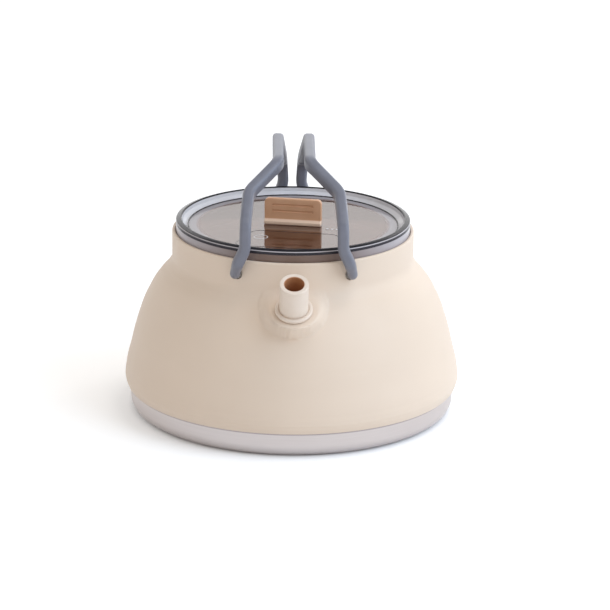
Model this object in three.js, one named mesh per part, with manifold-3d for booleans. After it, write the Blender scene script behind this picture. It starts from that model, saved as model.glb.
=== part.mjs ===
// A collapsible kettle: a steel pan, a folding silicone body with a stiff neck, a push-in spout,
// a clear lift-off lid with a folding pull tab, and two wire bail handles that swing out and down.
// Millimetres, +Z up. The origin is the centre of the pan's underside, and the spout faces -Y.
import * as THREE from 'three';
import { mergeVertices } from 'three/addons/utils/BufferGeometryUtils.js';
import Module from 'manifold-3d';

// Fits
const GAP = 0.3;
const OVERRUN = 1;

// Steel pan
const PAN_RADIUS = 88;
const PAN_CORNER_RADIUS = 7;
const PAN_SIDE_LEAN = 0.6;
const PAN_WALL = 0.8;
const PAN_RIM_DEPTH = 5.8;

// Silicone body. Each rise is measured up from the feature below it.
const SEAM_HEIGHT = 13.7;
const SEAM_OVERHANG = 1.2;
const CREASE_RISE = 4.8;
const CREASE_OVERHANG = 1.4;
const FOOT_RISE = 4.5;
const FOLD_RISE = 21.8;
const DOME_RISE = 63.5;
const SHOULDER_STEP = 1.2;
const BODY_WALL = 2.4;
const FOLD_WALL = 1.4;
const FOOT_INNER_LIP = 1.1;

// How the dome's height and its radius change together, from the crease to the shoulder's top
const domeShares = [
  [0, 0], [0.13, 0.04], [0.26, 0.125], [0.43, 0.232], [0.62, 0.39],
  [0.72, 0.51], [0.81, 0.635], [0.89, 0.79], [0.95, 0.93], [1, 1],
];

// Lid
const LID_RADIUS = 63.2;
const LID_CREST_ROUND = 1.3;
const LID_RIM_WIDTH = 1.8;
const LID_RIM_CLEARANCE = 0.9;
const LID_CHANNEL_WIDTH = 7;
const LID_PANEL_DROP = 4;
const LID_PANEL_THICKNESS = 2.4;
const LID_SKIRT_WALL = 1.8;
const LID_SKIRT_DEPTH = 6.5;
const LID_SKIRT_FOOT = 0.8;
const LID_TURN_DEGREES = -9.8;

// Neck, made to fit the lid
const NECK_WALL = 1.7;
const NECK_RISE = 17.8;
const NECK_FILLET = 2.2;
const NECK_TOP_ROUND = 1.2;
const NECK_RING_WIDTH = 6.2;
const NECK_RING_DROP = 2.8;
const LEDGE_RISE = 3.9;
const LEDGE_DEPTH = 3;
const LEDGE_THICKNESS = 2.5;

// Lid seal
const SEAL_WALL = 0.6;
const SEAL_LIP_HEIGHT = 1.1;

// Pull tab and its hinge
const TAB_WIDTH = 31;
const TAB_HEIGHT = 15.4;
const TAB_THICKNESS = 3;
const TAB_CORNER_RADIUS = 2.4;
const TAB_BARREL_RADIUS = 2.5;
const TAB_GROOVE_INSET = 4.75;
const TAB_GROOVE_WIDTH = 0.8;
const TAB_GROOVE_DEPTH = 0.4;
const tabGrooveShares = [0.24, 0.44];
const TAB_PIN_RADIUS = 0.7;
const TAB_PIN_INSET = 2.5;
const EAR_WIDTH = 3;
const EAR_RADIUS = 1.7;
const EAR_SPACING = 14;

// Spout
const SPOUT_ELEVATION_DEGREES = 62;
const SPOUT_STANDOFF = 4.9;
const SPOUT_DROP = 3.7;
const SPOUT_LENGTH = 17.8;
const SPOUT_RADIUS = 7.6;
const SPOUT_BORE = 5.1;
const SPOUT_FLANGE_RADIUS = 10.4;
const SPOUT_FLANGE_THICKNESS = 2;
const SPOUT_SHANK_RADIUS = 6.7;
const SPOUT_BARB_RADIUS = 8.8;
const SPOUT_BARB_THICKNESS = 1.5;
const BOSS_TOP_RADIUS = 12;
const BOSS_FOOT_RADIUS = 17.2;
const BOSS_FOOT_DROP = 6.5;
const BOSS_FOOT_SINK = 2.3;
// How far down the boss's flank is, and how far out, from its top to its foot
const bossFlankShares = [[0, 0], [0.1, 0.35], [0.25, 0.5], [0.5, 0.6], [0.75, 0.72], [0.9, 0.85], [1, 1]];

// Bail handles: one wire each, from a hole in the front of the neck to one in the back.
// A spread is the distance from the kettle's middle plane, a rise is above the pivots,
// and an outset is further out along Y than the pivot of the same end.
const WIRE_RADIUS = 1.6;
const SLEEVE_WALL = 0.75;
const PIVOT_DROP = 7.6;
const PIVOT_STANDOFF = 3.4;
const PIVOT_HOLE_CLEARANCE = 0.55;
const FRONT_PIVOT_SPREAD = 31.1;
const REAR_PIVOT_SPREAD = 10.1;
const WIRE_INSERTION = 6.1;
const SLEEVE_INSERTION = 1.3;
const ELBOW_BEND = 4.5;
const LEG_BEND = 18;
const KNEE_BEND = 14;
const GRIP_BEND = 12;
const GRIP_RISE = 51.4;
const GRIP_HALF_LENGTH = 25.1;
const GRIP_SPREAD = 8.4;
const KNEE_RUN = 17.9;
const KNEE_SPREAD = 24;
const KNEE_RISE = 39.9;
const FRONT_LEG_OUTSET = 2.2;
const FRONT_LEG_FOOT_SPREAD = 25.7;
const FRONT_LEG_FOOT_RISE = 17.2;
const FRONT_LEG_TOP_SPREAD = 25.5;
const FRONT_LEG_TOP_RISE = 29.2;
const REAR_LEG_OUTSET = 0.35;
const REAR_LEG_FOOT_SPREAD = 5;
const REAR_LEG_FOOT_RISE = 14.3;
const REAR_LEG_TOP_SPREAD = 5.9;
const REAR_LEG_TOP_RISE = 28.8;

// Facets
const BODY_STEPS = 48;
const DOME_STEPS = 10;
const FOLD_STEPS = 4;
const FOOT_STEPS = 3;
const CORNER_STEPS = 3;
const SMALL_STEPS = 20;
const PIN_STEPS = 10;
const SLEEVE_SIDES = 10;
const WIRE_SIDES = 8;
const BEND_STEPS = 4;
const OUTLINE_SAMPLES = 240;

// Radii and heights that follow from the sizes above
const neckRadius = LID_RADIUS + GAP + NECK_WALL;
const mouthRadius = LID_RADIUS - NECK_RING_WIDTH;
const seamRadius = PAN_RADIUS + SEAM_OVERHANG;
const creaseRadius = seamRadius + CREASE_OVERHANG;
const shoulderTopRadius = neckRadius + SHOULDER_STEP;
const panRimHeight = SEAM_HEIGHT + PAN_RIM_DEPTH;
const creaseHeight = SEAM_HEIGHT + CREASE_RISE;
const lowerFoldHeight = creaseHeight + FOOT_RISE;
const upperFoldHeight = lowerFoldHeight + FOLD_RISE;
const shoulderTopHeight = creaseHeight + DOME_RISE;
const ledgeHeight = shoulderTopHeight + LEDGE_RISE;
const neckTop = shoulderTopHeight + NECK_RISE;
const neckRingTop = neckTop - NECK_RING_DROP;
const lidRimUnderside = neckRingTop + GAP + LID_RIM_CLEARANCE;
const lidPanelUnderside = lidRimUnderside + LID_RIM_WIDTH;
const lidPanelTop = lidPanelUnderside + LID_PANEL_THICKNESS;
const pinHeight = lidPanelTop + TAB_BARREL_RADIUS + GAP;
const pivotHeight = neckTop - PIVOT_DROP;
const sleeveRadius = WIRE_RADIUS + GAP + SLEEVE_WALL;

const materials = {
  steel: new THREE.MeshStandardMaterial({ color: 0xcbc6c4, roughness: 0.38, metalness: 1 }),
  silicone: new THREE.MeshStandardMaterial({ color: 0xe8dccd, roughness: 0.62, metalness: 0 }),
  neckPlastic: new THREE.MeshStandardMaterial({ color: 0xe0d3c3, roughness: 0.5, metalness: 0 }),
  spoutPlastic: new THREE.MeshStandardMaterial({ color: 0xf0e4d6, roughness: 0.45, metalness: 0 }),
  wire: new THREE.MeshStandardMaterial({ color: 0xa9abae, roughness: 0.35, metalness: 1 }),
  sleeve: new THREE.MeshStandardMaterial({ color: 0x8b919c, roughness: 0.6, metalness: 0 }),
  lid: new THREE.MeshStandardMaterial({
    color: 0x5b5557, roughness: 0.06, metalness: 0, transparent: true, opacity: 0.5,
  }),
  seal: new THREE.MeshStandardMaterial({ color: 0xd8d2cc, roughness: 0.6, metalness: 0 }),
  tab: new THREE.MeshStandardMaterial({ color: 0xb98c69, roughness: 0.5, metalness: 0 }),
};

const manifold = await Module();
manifold.setup();

// Turns a closed three.js geometry into a manifold solid, with its shared corners merged.
function toSolid(geometry) {
  const bare = geometry.clone();
  bare.deleteAttribute('normal');
  bare.deleteAttribute('uv');
  const merged = mergeVertices(bare);
  const triangles = [];
  for (let i = 0; i < merged.index.count; i += 3) {
    const corners = [merged.index.getX(i), merged.index.getX(i + 1), merged.index.getX(i + 2)];
    if (new Set(corners).size === 3) triangles.push(...corners);
  }
  return new manifold.Manifold(new manifold.Mesh({
    numProp: 3,
    vertProperties: new Float32Array(merged.attributes.position.array),
    triVerts: new Uint32Array(triangles),
  }));
}

function toGeometry(solid) {
  const mesh = solid.getMesh();
  const geometry = new THREE.BufferGeometry();
  geometry.setAttribute('position', new THREE.Float32BufferAttribute(mesh.vertProperties, 3));
  geometry.setIndex(Array.from(mesh.triVerts));
  geometry.computeVertexNormals();
  return geometry;
}

function namedMesh(name, geometry, material) {
  const mesh = new THREE.Mesh(geometry, material);
  mesh.name = name;
  return mesh;
}

// A solid of revolution about Z, from [radius, height] pairs.
function turned(profile, steps) {
  const points = profile.map(([radius, height]) => new THREE.Vector2(radius, height));
  return new THREE.LatheGeometry(points, steps).rotateX(Math.PI / 2);
}

// A ring about Z, from a profile that closes on itself.
function turnedRing(profile, steps) {
  return turned([...profile, profile[0]], steps);
}

// Points on a circular arc in [radius, height], from one angle to another, both ends included.
function arcPoints(centreRadius, centreHeight, arcRadius, startAngle, endAngle, steps) {
  return Array.from({ length: steps + 1 }, (_, i) => {
    const angle = THREE.MathUtils.lerp(startAngle, endAngle, i / steps);
    return [centreRadius + arcRadius * Math.cos(angle), centreHeight + arcRadius * Math.sin(angle)];
  });
}

function regularPolygon(radius, sides) {
  return Array.from({ length: sides }, (_, i) => {
    const angle = (2 * Math.PI * i) / sides;
    return new THREE.Vector2(radius * Math.cos(angle), radius * Math.sin(angle));
  });
}

// A closed body through circles, from the highest to the lowest, centred in the kettle's middle plane.
// A circle's centre is at [reach, height] in front of the axis, and its elevation is its axis's.
function loftedCircles(circles, steps) {
  const points = [];
  const triangles = [];
  circles.forEach(({ reach, height, elevation, radius }, row) => {
    const first = row * steps;
    for (let i = 0; i < steps; i += 1) {
      const angle = (2 * Math.PI * i) / steps;
      const rise = radius * Math.sin(angle);
      points.push(radius * Math.cos(angle), rise * Math.sin(elevation) - reach,
        height + rise * Math.cos(elevation));
      const next = first + ((i + 1) % steps);
      if (row > 0) {
        triangles.push(first + i - steps, first + i, next, first + i - steps, next, next - steps);
      }
    }
  });
  const last = (circles.length - 1) * steps;
  for (let i = 1; i < steps - 1; i += 1) {
    triangles.push(0, i, i + 1, last, last + i + 1, last + i);
  }
  const geometry = new THREE.BufferGeometry();
  geometry.setAttribute('position', new THREE.Float32BufferAttribute(points, 3));
  return geometry.setIndex(triangles);
}

// A straight round bar between two points, with flat ends.
function roundBar(start, end, radius, steps) {
  const axis = new THREE.Vector3().subVectors(end, start);
  const bar = new THREE.CylinderGeometry(radius, radius, axis.length(), steps);
  bar.applyQuaternion(new THREE.Quaternion().setFromUnitVectors(
    new THREE.Vector3(0, 1, 0), axis.clone().normalize()));
  const middle = new THREE.Vector3().addVectors(start, end).multiplyScalar(0.5);
  return bar.translate(middle.x, middle.y, middle.z);
}

// The outside of the silicone body as one curve of radius and height.
const outline = new THREE.SplineCurve([
  new THREE.Vector2(seamRadius, SEAM_HEIGHT),
  ...domeShares.map(([up, inward]) => new THREE.Vector2(
    THREE.MathUtils.lerp(creaseRadius, shoulderTopRadius, inward),
    THREE.MathUtils.lerp(creaseHeight, shoulderTopHeight, up))),
]).getPoints(OUTLINE_SAMPLES);

// The outline's pair of neighbouring points round a height.
function outlineSpan(height) {
  const found = outline.findIndex((point) => point.y >= height);
  const upper = found < 0 ? outline.length - 1 : Math.max(found, 1);
  return [outline[upper - 1], outline[upper]];
}

function outerRadius(height) {
  const [lower, upper] = outlineSpan(height);
  return THREE.MathUtils.mapLinear(height, lower.y, upper.y, lower.x, upper.x);
}

// How fast the radius grows with height.
function outlineSlope(height) {
  const [lower, upper] = outlineSpan(height);
  return (upper.x - lower.x) / (upper.y - lower.y);
}

// The wall's inside at a height, so that the wall is as thick as asked, square to its surface.
function innerRadius(height, wall) {
  return outerRadius(height) - wall * Math.hypot(1, outlineSlope(height));
}

function heightSteps(low, high, steps) {
  return Array.from({ length: steps + 1 }, (_, i) => THREE.MathUtils.lerp(low, high, i / steps));
}

// The drawn steel pan: flat floor, rounded corner, and a side whose rim stands in the silicone.
function basePan() {
  const floorRadius = PAN_RADIUS - PAN_SIDE_LEAN - PAN_CORNER_RADIUS;
  const insideCorner = PAN_CORNER_RADIUS - PAN_WALL;
  const outside = arcPoints(floorRadius, PAN_CORNER_RADIUS, PAN_CORNER_RADIUS,
    -Math.PI / 2, 0, CORNER_STEPS);
  const inside = arcPoints(floorRadius, PAN_CORNER_RADIUS, insideCorner,
    0, -Math.PI / 2, CORNER_STEPS);
  return turned([
    [0, 0],
    ...outside,
    [PAN_RADIUS, SEAM_HEIGHT - GAP],
    [PAN_RADIUS, panRimHeight],
    [PAN_RADIUS - PAN_WALL, panRimHeight],
    [PAN_RADIUS - PAN_WALL, SEAM_HEIGHT - GAP],
    ...inside,
    [0, PAN_WALL],
  ], BODY_STEPS);
}

// The foot of the silicone body, with the groove that holds the pan's rim.
function footRing() {
  const top = lowerFoldHeight - GAP / 2;
  const grooveTop = panRimHeight + GAP;
  const grooveOuter = PAN_RADIUS + GAP;
  const grooveInner = PAN_RADIUS - PAN_WALL - GAP;
  const lipInner = grooveInner - FOOT_INNER_LIP;
  return turnedRing([
    [grooveOuter, SEAM_HEIGHT],
    [seamRadius, SEAM_HEIGHT],
    ...heightSteps(SEAM_HEIGHT, top, FOOT_STEPS).slice(1).map((z) => [outerRadius(z), z]),
    [innerRadius(top, BODY_WALL), top],
    [lipInner, grooveTop],
    [lipInner, SEAM_HEIGHT],
    [grooveInner, SEAM_HEIGHT],
    [grooveInner, grooveTop],
    [grooveOuter, grooveTop],
  ], BODY_STEPS);
}

// The thin band that turns itself inside out as the kettle is pressed flat.
function foldWeb() {
  const heights = heightSteps(lowerFoldHeight + GAP / 2, upperFoldHeight - GAP / 2, FOLD_STEPS);
  return turnedRing([
    ...heights.map((z) => [outerRadius(z), z]),
    ...heights.reverse().map((z) => [innerRadius(z, FOLD_WALL), z]),
  ], BODY_STEPS);
}

// The spout's line, the middle of its flange, and how far from that the boss's top lies on the line.
const bossFootHeight = shoulderTopHeight - BOSS_FOOT_DROP;
const spoutElevation = THREE.MathUtils.degToRad(SPOUT_ELEVATION_DEGREES);
const spoutReach = outerRadius(bossFootHeight) + SPOUT_STANDOFF;
const spoutHeight = shoulderTopHeight - SPOUT_DROP;
const bossTop = -SPOUT_FLANGE_THICKNESS / 2 - GAP;

// Turns a geometry made about Z so that it stands on the spout's line.
function onSpoutLine(geometry) {
  return geometry.rotateX(Math.PI / 2 - spoutElevation).translate(0, -spoutReach, spoutHeight);
}

// The boss under the spout: its top is square to the spout's line, its foot to the dome's slope.
// An inset one hollows the boss from inside, and ends below the foot of the outer one.
function spoutBoss(inset) {
  const footElevation = Math.atan(-outlineSlope(bossFootHeight));
  const circle = (reach, height, elevation, along, radius) => ({
    reach: reach + along * Math.cos(elevation),
    height: height + along * Math.sin(elevation),
    elevation,
    radius: radius - inset,
  });
  const foot = (depth) => circle(
    outerRadius(bossFootHeight), bossFootHeight, footElevation, -depth, BOSS_FOOT_RADIUS);
  const top = circle(spoutReach, spoutHeight, spoutElevation, bossTop - inset, BOSS_TOP_RADIUS);
  const base = foot(BOSS_FOOT_SINK + inset);
  const flank = bossFlankShares.map(([down, out]) => ({
    reach: THREE.MathUtils.lerp(top.reach, base.reach, down),
    height: THREE.MathUtils.lerp(top.height, base.height, down),
    elevation: THREE.MathUtils.lerp(top.elevation, base.elevation, down),
    radius: THREE.MathUtils.lerp(top.radius, base.radius, out),
  }));
  return loftedCircles([...flank, foot(2 * BOSS_FOOT_SINK + BODY_WALL + inset)], 2 * SMALL_STEPS);
}

// How far along Y an elbow lies, standing off the neck at its spread from the middle plane.
function elbowReach(spread) {
  return Math.sqrt((neckRadius + PIVOT_STANDOFF) ** 2 - spread ** 2);
}

// The line that a handle turns on, through its two elbows. Side is -1 on the left, 1 on the right.
function pivotLine(side) {
  const front = new THREE.Vector3(side * FRONT_PIVOT_SPREAD, -elbowReach(FRONT_PIVOT_SPREAD), pivotHeight);
  const rear = new THREE.Vector3(side * REAR_PIVOT_SPREAD, elbowReach(REAR_PIVOT_SPREAD), pivotHeight);
  const inward = new THREE.Vector3().subVectors(rear, front).normalize();
  return { front, rear, inward };
}

// How far a handle's wire and its sleeve run in from the elbows, along the pivot line.
const wireTip = PIVOT_STANDOFF + WIRE_INSERTION;
const sleeveTip = PIVOT_STANDOFF + SLEEVE_INSERTION;

// Four round cutters, one at each end of each handle's pivot line.
function pivotCutters(radius, depth, steps) {
  return [-1, 1].flatMap((side) => {
    const { front, rear, inward } = pivotLine(side);
    return [
      roundBar(front, front.clone().addScaledVector(inward, depth), radius, steps),
      roundBar(rear, rear.clone().addScaledVector(inward, -depth), radius, steps),
    ];
  });
}

// Dome, shoulder and neck in one skin, with the soft boss that the spout plugs into.
function upperShell() {
  const bottom = upperFoldHeight + GAP / 2;
  const heights = heightSteps(bottom, shoulderTopHeight, DOME_STEPS);
  const bore = LID_RADIUS + GAP;
  const ledgeInner = bore - LEDGE_DEPTH;
  const ledgeUnderside = ledgeHeight - LEDGE_THICKNESS;
  const topRoundCentre = neckRadius - NECK_TOP_ROUND;
  const outside = toSolid(turned([
    [0, bottom],
    ...heights.map((z) => [outerRadius(z), z]),
    [neckRadius, shoulderTopHeight + NECK_FILLET],
    ...arcPoints(topRoundCentre, neckTop - NECK_TOP_ROUND, NECK_TOP_ROUND,
      0, Math.PI / 2, CORNER_STEPS),
    [0, neckTop],
  ], BODY_STEPS));
  const inside = toSolid(turned([
    [0, bottom - OVERRUN],
    [innerRadius(bottom, BODY_WALL), bottom - OVERRUN],
    ...heights.filter((z) => z < ledgeUnderside - BODY_WALL)
      .map((z) => [innerRadius(z, BODY_WALL), z]),
    [ledgeInner, ledgeUnderside],
    [ledgeInner, ledgeHeight],
    [bore, ledgeHeight],
    [bore, neckTop + OVERRUN],
    [0, neckTop + OVERRUN],
  ], BODY_STEPS));
  const spoutHole = onSpoutLine(turned([
    [0, bossTop - BODY_WALL - OVERRUN],
    [SPOUT_SHANK_RADIUS + GAP, bossTop - BODY_WALL - OVERRUN],
    [SPOUT_SHANK_RADIUS + GAP, bossTop + OVERRUN],
    [0, bossTop + OVERRUN],
  ], SMALL_STEPS));
  const boss = toSolid(spoutBoss(0));
  let shell = outside.add(boss).subtract(inside).subtract(toSolid(spoutBoss(BODY_WALL)));
  shell = shell.subtract(toSolid(spoutHole));
  for (const cutter of pivotCutters(sleeveRadius + PIVOT_HOLE_CLEARANCE, wireTip, SMALL_STEPS)) {
    shell = shell.subtract(toSolid(cutter));
  }
  return toGeometry(shell);
}

// The stiff ring inside the neck: it carries the handles' pivots, and the lid rests on it.
function neckRing() {
  let ring = toSolid(turnedRing([
    [mouthRadius, ledgeHeight + GAP],
    [LID_RADIUS, ledgeHeight + GAP],
    [LID_RADIUS, neckRingTop],
    [mouthRadius, neckRingTop],
  ], BODY_STEPS));
  for (const cutter of pivotCutters(WIRE_RADIUS + GAP, wireTip + GAP, PIN_STEPS)) {
    ring = ring.subtract(toSolid(cutter));
  }
  return toGeometry(ring);
}

// The spout: tube, outer flange, and a barb that holds it in the boss.
function spoutNozzle() {
  const flangeTop = SPOUT_FLANGE_THICKNESS / 2;
  const barbTop = bossTop - BODY_WALL - GAP;
  const mouth = flangeTop + SPOUT_LENGTH;
  const lip = (SPOUT_RADIUS - SPOUT_BORE) / 2;
  return onSpoutLine(turnedRing([
    [SPOUT_BORE, barbTop - SPOUT_BARB_THICKNESS],
    [SPOUT_SHANK_RADIUS, barbTop - SPOUT_BARB_THICKNESS],
    [SPOUT_BARB_RADIUS, barbTop],
    [SPOUT_SHANK_RADIUS, barbTop],
    [SPOUT_SHANK_RADIUS, -flangeTop],
    [SPOUT_FLANGE_RADIUS, -flangeTop],
    [SPOUT_FLANGE_RADIUS, flangeTop],
    [SPOUT_RADIUS, flangeTop],
    ...arcPoints(SPOUT_RADIUS - lip, mouth - lip, lip, 0, Math.PI, CORNER_STEPS),
  ], SMALL_STEPS));
}

// The clear lid, turned about its own axis, with two ears for the tab's pin.
function lidBody() {
  const seat = neckRingTop + GAP;
  const skirtOuter = mouthRadius - 3 * GAP - 2 * SEAL_WALL;
  const skirtFoot = neckRingTop - LID_SKIRT_DEPTH;
  const crestCentre = LID_RADIUS - LID_CREST_ROUND;
  const crestCentreHeight = lidPanelTop + LID_PANEL_DROP - LID_CREST_ROUND;
  let lid = toSolid(turned([
    [0, lidPanelUnderside],
    [skirtOuter - LID_SKIRT_WALL, lidPanelUnderside],
    [skirtOuter - LID_SKIRT_WALL, skirtFoot],
    [skirtOuter + SEAL_WALL, skirtFoot],
    [skirtOuter + SEAL_WALL, skirtFoot + LID_SKIRT_FOOT],
    [skirtOuter, skirtFoot + LID_SKIRT_FOOT],
    [skirtOuter, lidRimUnderside],
    [LID_RADIUS - LID_RIM_WIDTH, lidRimUnderside],
    [LID_RADIUS - LID_RIM_WIDTH, seat],
    [LID_RADIUS, seat],
    ...arcPoints(crestCentre, crestCentreHeight, LID_CREST_ROUND, 0, Math.PI, 2 * CORNER_STEPS),
    [LID_RADIUS - LID_CHANNEL_WIDTH, lidPanelTop],
    [0, lidPanelTop],
  ], BODY_STEPS));
  for (const side of [-1, 1]) {
    const centre = side * EAR_SPACING / 2;
    const half = EAR_WIDTH / 2;
    const ear = roundBar(new THREE.Vector3(centre - half, 0, pinHeight),
      new THREE.Vector3(centre + half, 0, pinHeight), EAR_RADIUS, SMALL_STEPS);
    const stemHeight = pinHeight - lidPanelUnderside;
    const stem = new THREE.BoxGeometry(EAR_WIDTH, EAR_RADIUS, stemHeight);
    stem.translate(centre, 0, lidPanelUnderside + stemHeight / 2);
    lid = lid.add(toSolid(ear)).add(toSolid(stem));
  }
  const pinHole = roundBar(new THREE.Vector3(-EAR_SPACING, 0, pinHeight),
    new THREE.Vector3(EAR_SPACING, 0, pinHeight), TAB_PIN_RADIUS + GAP, PIN_STEPS);
  return toGeometry(lid.subtract(toSolid(pinHole)));
}

// The soft ring round the lid's skirt, with two lips that wipe the neck ring's bore.
function lidSeal() {
  const inner = mouthRadius - 2 * GAP - 2 * SEAL_WALL;
  const back = inner + SEAL_WALL;
  const lip = mouthRadius - GAP;
  const foot = neckRingTop - LID_SKIRT_DEPTH + LID_SKIRT_FOOT + GAP;
  const top = lidRimUnderside - GAP;
  const lipBase = foot + SEAL_LIP_HEIGHT;
  const pitch = 2 * SEAL_LIP_HEIGHT;
  return turnedRing([
    [inner, foot],
    [back, foot],
    [back, lipBase],
    [lip, lipBase + SEAL_LIP_HEIGHT / 2],
    [back, lipBase + SEAL_LIP_HEIGHT],
    [back, lipBase + pitch],
    [lip, lipBase + pitch + SEAL_LIP_HEIGHT / 2],
    [back, lipBase + pitch + SEAL_LIP_HEIGHT],
    [back, top],
    [inner, top],
  ], BODY_STEPS);
}

// The pull tab: a flat flap on a barrel, slotted underneath and behind for the lid's ears.
function pullTab() {
  const half = TAB_WIDTH / 2;
  const bottom = pinHeight;
  const top = lidPanelTop + TAB_HEIGHT;
  const back = TAB_BARREL_RADIUS;
  const face = new THREE.Shape();
  face.moveTo(-half, bottom);
  face.lineTo(half, bottom);
  face.lineTo(half, top - TAB_CORNER_RADIUS);
  const cornerHeight = top - TAB_CORNER_RADIUS;
  face.absarc(half - TAB_CORNER_RADIUS, cornerHeight, TAB_CORNER_RADIUS, 0, Math.PI / 2);
  face.absarc(TAB_CORNER_RADIUS - half, cornerHeight, TAB_CORNER_RADIUS, Math.PI / 2, Math.PI);
  face.closePath();
  const flap = new THREE.ExtrudeGeometry(face, {
    depth: TAB_THICKNESS, bevelEnabled: false, curveSegments: CORNER_STEPS,
  }).rotateX(Math.PI / 2).translate(0, back, 0);
  const barrel = roundBar(new THREE.Vector3(-half, 0, pinHeight), new THREE.Vector3(half, 0, pinHeight),
    TAB_BARREL_RADIUS, SMALL_STEPS);
  let tab = toSolid(flap).add(toSolid(barrel));
  const grooveLength = TAB_WIDTH - 2 * TAB_GROOVE_INSET;
  for (const share of tabGrooveShares) {
    const groove = new THREE.BoxGeometry(grooveLength, 2 * TAB_GROOVE_DEPTH, TAB_GROOVE_WIDTH);
    groove.translate(0, back - TAB_THICKNESS, top - share * TAB_HEIGHT);
    tab = tab.subtract(toSolid(groove));
  }
  for (const side of [-1, 1]) {
    const centre = side * EAR_SPACING / 2;
    const halfSlot = EAR_WIDTH / 2 + GAP;
    const slotRadius = EAR_RADIUS + GAP;
    const slot = roundBar(new THREE.Vector3(centre - halfSlot, 0, pinHeight),
      new THREE.Vector3(centre + halfSlot, 0, pinHeight), slotRadius, SMALL_STEPS);
    const opening = 2 * TAB_BARREL_RADIUS;
    const notch = new THREE.BoxGeometry(2 * halfSlot, opening + slotRadius, opening + slotRadius);
    notch.translate(centre, (opening - slotRadius) / 2, pinHeight - (opening - slotRadius) / 2);
    tab = tab.subtract(toSolid(slot)).subtract(toSolid(notch));
  }
  const pinHole = roundBar(new THREE.Vector3(-half - OVERRUN, 0, pinHeight),
    new THREE.Vector3(half + OVERRUN, 0, pinHeight), TAB_PIN_RADIUS + GAP, PIN_STEPS);
  return toGeometry(tab.subtract(toSolid(pinHole)));
}

function tabPin() {
  const half = TAB_WIDTH / 2 - TAB_PIN_INSET;
  return roundBar(new THREE.Vector3(-half, 0, pinHeight), new THREE.Vector3(half, 0, pinHeight),
    TAB_PIN_RADIUS, PIN_STEPS);
}

// A path through listed points, one share of it for each step between them.
class WirePath extends THREE.Curve {
  constructor(points) {
    super();
    this.points = points;
  }

  getPoint(share, target = new THREE.Vector3()) {
    const place = share * (this.points.length - 1);
    const index = Math.min(Math.floor(place), this.points.length - 2);
    return target.lerpVectors(this.points[index], this.points[index + 1], place - index);
  }

  getPointAt(share, target) {
    return this.getPoint(share, target);
  }

  getTangentAt(share, target) {
    return this.getTangent(share, target);
  }
}

// Points along straight runs between corners, each corner rounded to its bend radius. Where a run is too
// short for the bends at its two ends, both shrink alike.
function bentWire(corners) {
  const last = corners.length - 1;
  const runs = corners.slice(1).map(({ at }, i) => new THREE.Vector3().subVectors(at, corners[i].at));
  const halfTurns = corners.map((corner, i) => (i > 0 && i < last ? runs[i - 1].angleTo(runs[i]) / 2 : 0));
  const setbacks = corners.map(({ bend = 0 }, i) => bend * Math.tan(halfTurns[i]));
  const fits = runs.map((run, i) => Math.min(1, run.length() / (setbacks[i] + setbacks[i + 1])));
  const points = [corners[0].at];
  for (let i = 1; i < last; i += 1) {
    const setback = setbacks[i] * Math.min(fits[i - 1], fits[i]);
    const back = runs[i - 1].clone().normalize().multiplyScalar(-setback);
    const ahead = runs[i].clone().normalize().multiplyScalar(setback);
    const inward = new THREE.Vector3().addVectors(back, ahead).normalize();
    const centre = corners[i].at.clone().addScaledVector(inward, setback / Math.sin(halfTurns[i]));
    const start = corners[i].at.clone().add(back).sub(centre);
    const end = corners[i].at.clone().add(ahead).sub(centre);
    const sweep = start.angleTo(end);
    for (let step = 0; step <= BEND_STEPS; step += 1) {
      const share = step / BEND_STEPS;
      const point = centre.clone();
      point.addScaledVector(start, Math.sin((1 - share) * sweep) / Math.sin(sweep));
      point.addScaledVector(end, Math.sin(share * sweep) / Math.sin(sweep));
      points.push(point);
    }
  }
  points.push(corners[last].at);
  return new WirePath(points);
}

// The left or right handle's centre line. Both ends run in along the pivot line by the tip's length.
function handlePath(side, tip) {
  const { front, rear, inward } = pivotLine(side);
  const corner = (spread, along, rise) => new THREE.Vector3(side * spread, along, pivotHeight + rise);
  const frontLeg = front.y - FRONT_LEG_OUTSET;
  const rearLeg = rear.y + REAR_LEG_OUTSET;
  return bentWire([
    { at: front.clone().addScaledVector(inward, tip) },
    { at: front, bend: ELBOW_BEND },
    { at: corner(FRONT_LEG_FOOT_SPREAD, frontLeg, FRONT_LEG_FOOT_RISE), bend: LEG_BEND },
    { at: corner(FRONT_LEG_TOP_SPREAD, frontLeg, FRONT_LEG_TOP_RISE), bend: KNEE_BEND },
    { at: corner(KNEE_SPREAD, -GRIP_HALF_LENGTH - KNEE_RUN, KNEE_RISE), bend: KNEE_BEND },
    { at: corner(GRIP_SPREAD, -GRIP_HALF_LENGTH, GRIP_RISE), bend: GRIP_BEND },
    { at: corner(GRIP_SPREAD, GRIP_HALF_LENGTH, GRIP_RISE), bend: GRIP_BEND },
    { at: corner(REAR_LEG_TOP_SPREAD, rearLeg, REAR_LEG_TOP_RISE), bend: KNEE_BEND },
    { at: corner(REAR_LEG_FOOT_SPREAD, rearLeg, REAR_LEG_FOOT_RISE), bend: LEG_BEND },
    { at: rear, bend: ELBOW_BEND },
    { at: rear.clone().addScaledVector(inward, -tip) },
  ]);
}

function sweep(section, path) {
  return new THREE.ExtrudeGeometry(section, {
    steps: path.points.length - 1, extrudePath: path, bevelEnabled: false,
  });
}

function handleWire(side) {
  return sweep(new THREE.Shape(regularPolygon(WIRE_RADIUS, WIRE_SIDES)), handlePath(side, wireTip));
}

function handleSleeve(side) {
  const section = new THREE.Shape(regularPolygon(sleeveRadius, SLEEVE_SIDES));
  section.holes.push(new THREE.Path(regularPolygon(WIRE_RADIUS + GAP, WIRE_SIDES)));
  return sweep(section, handlePath(side, sleeveTip));
}

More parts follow.
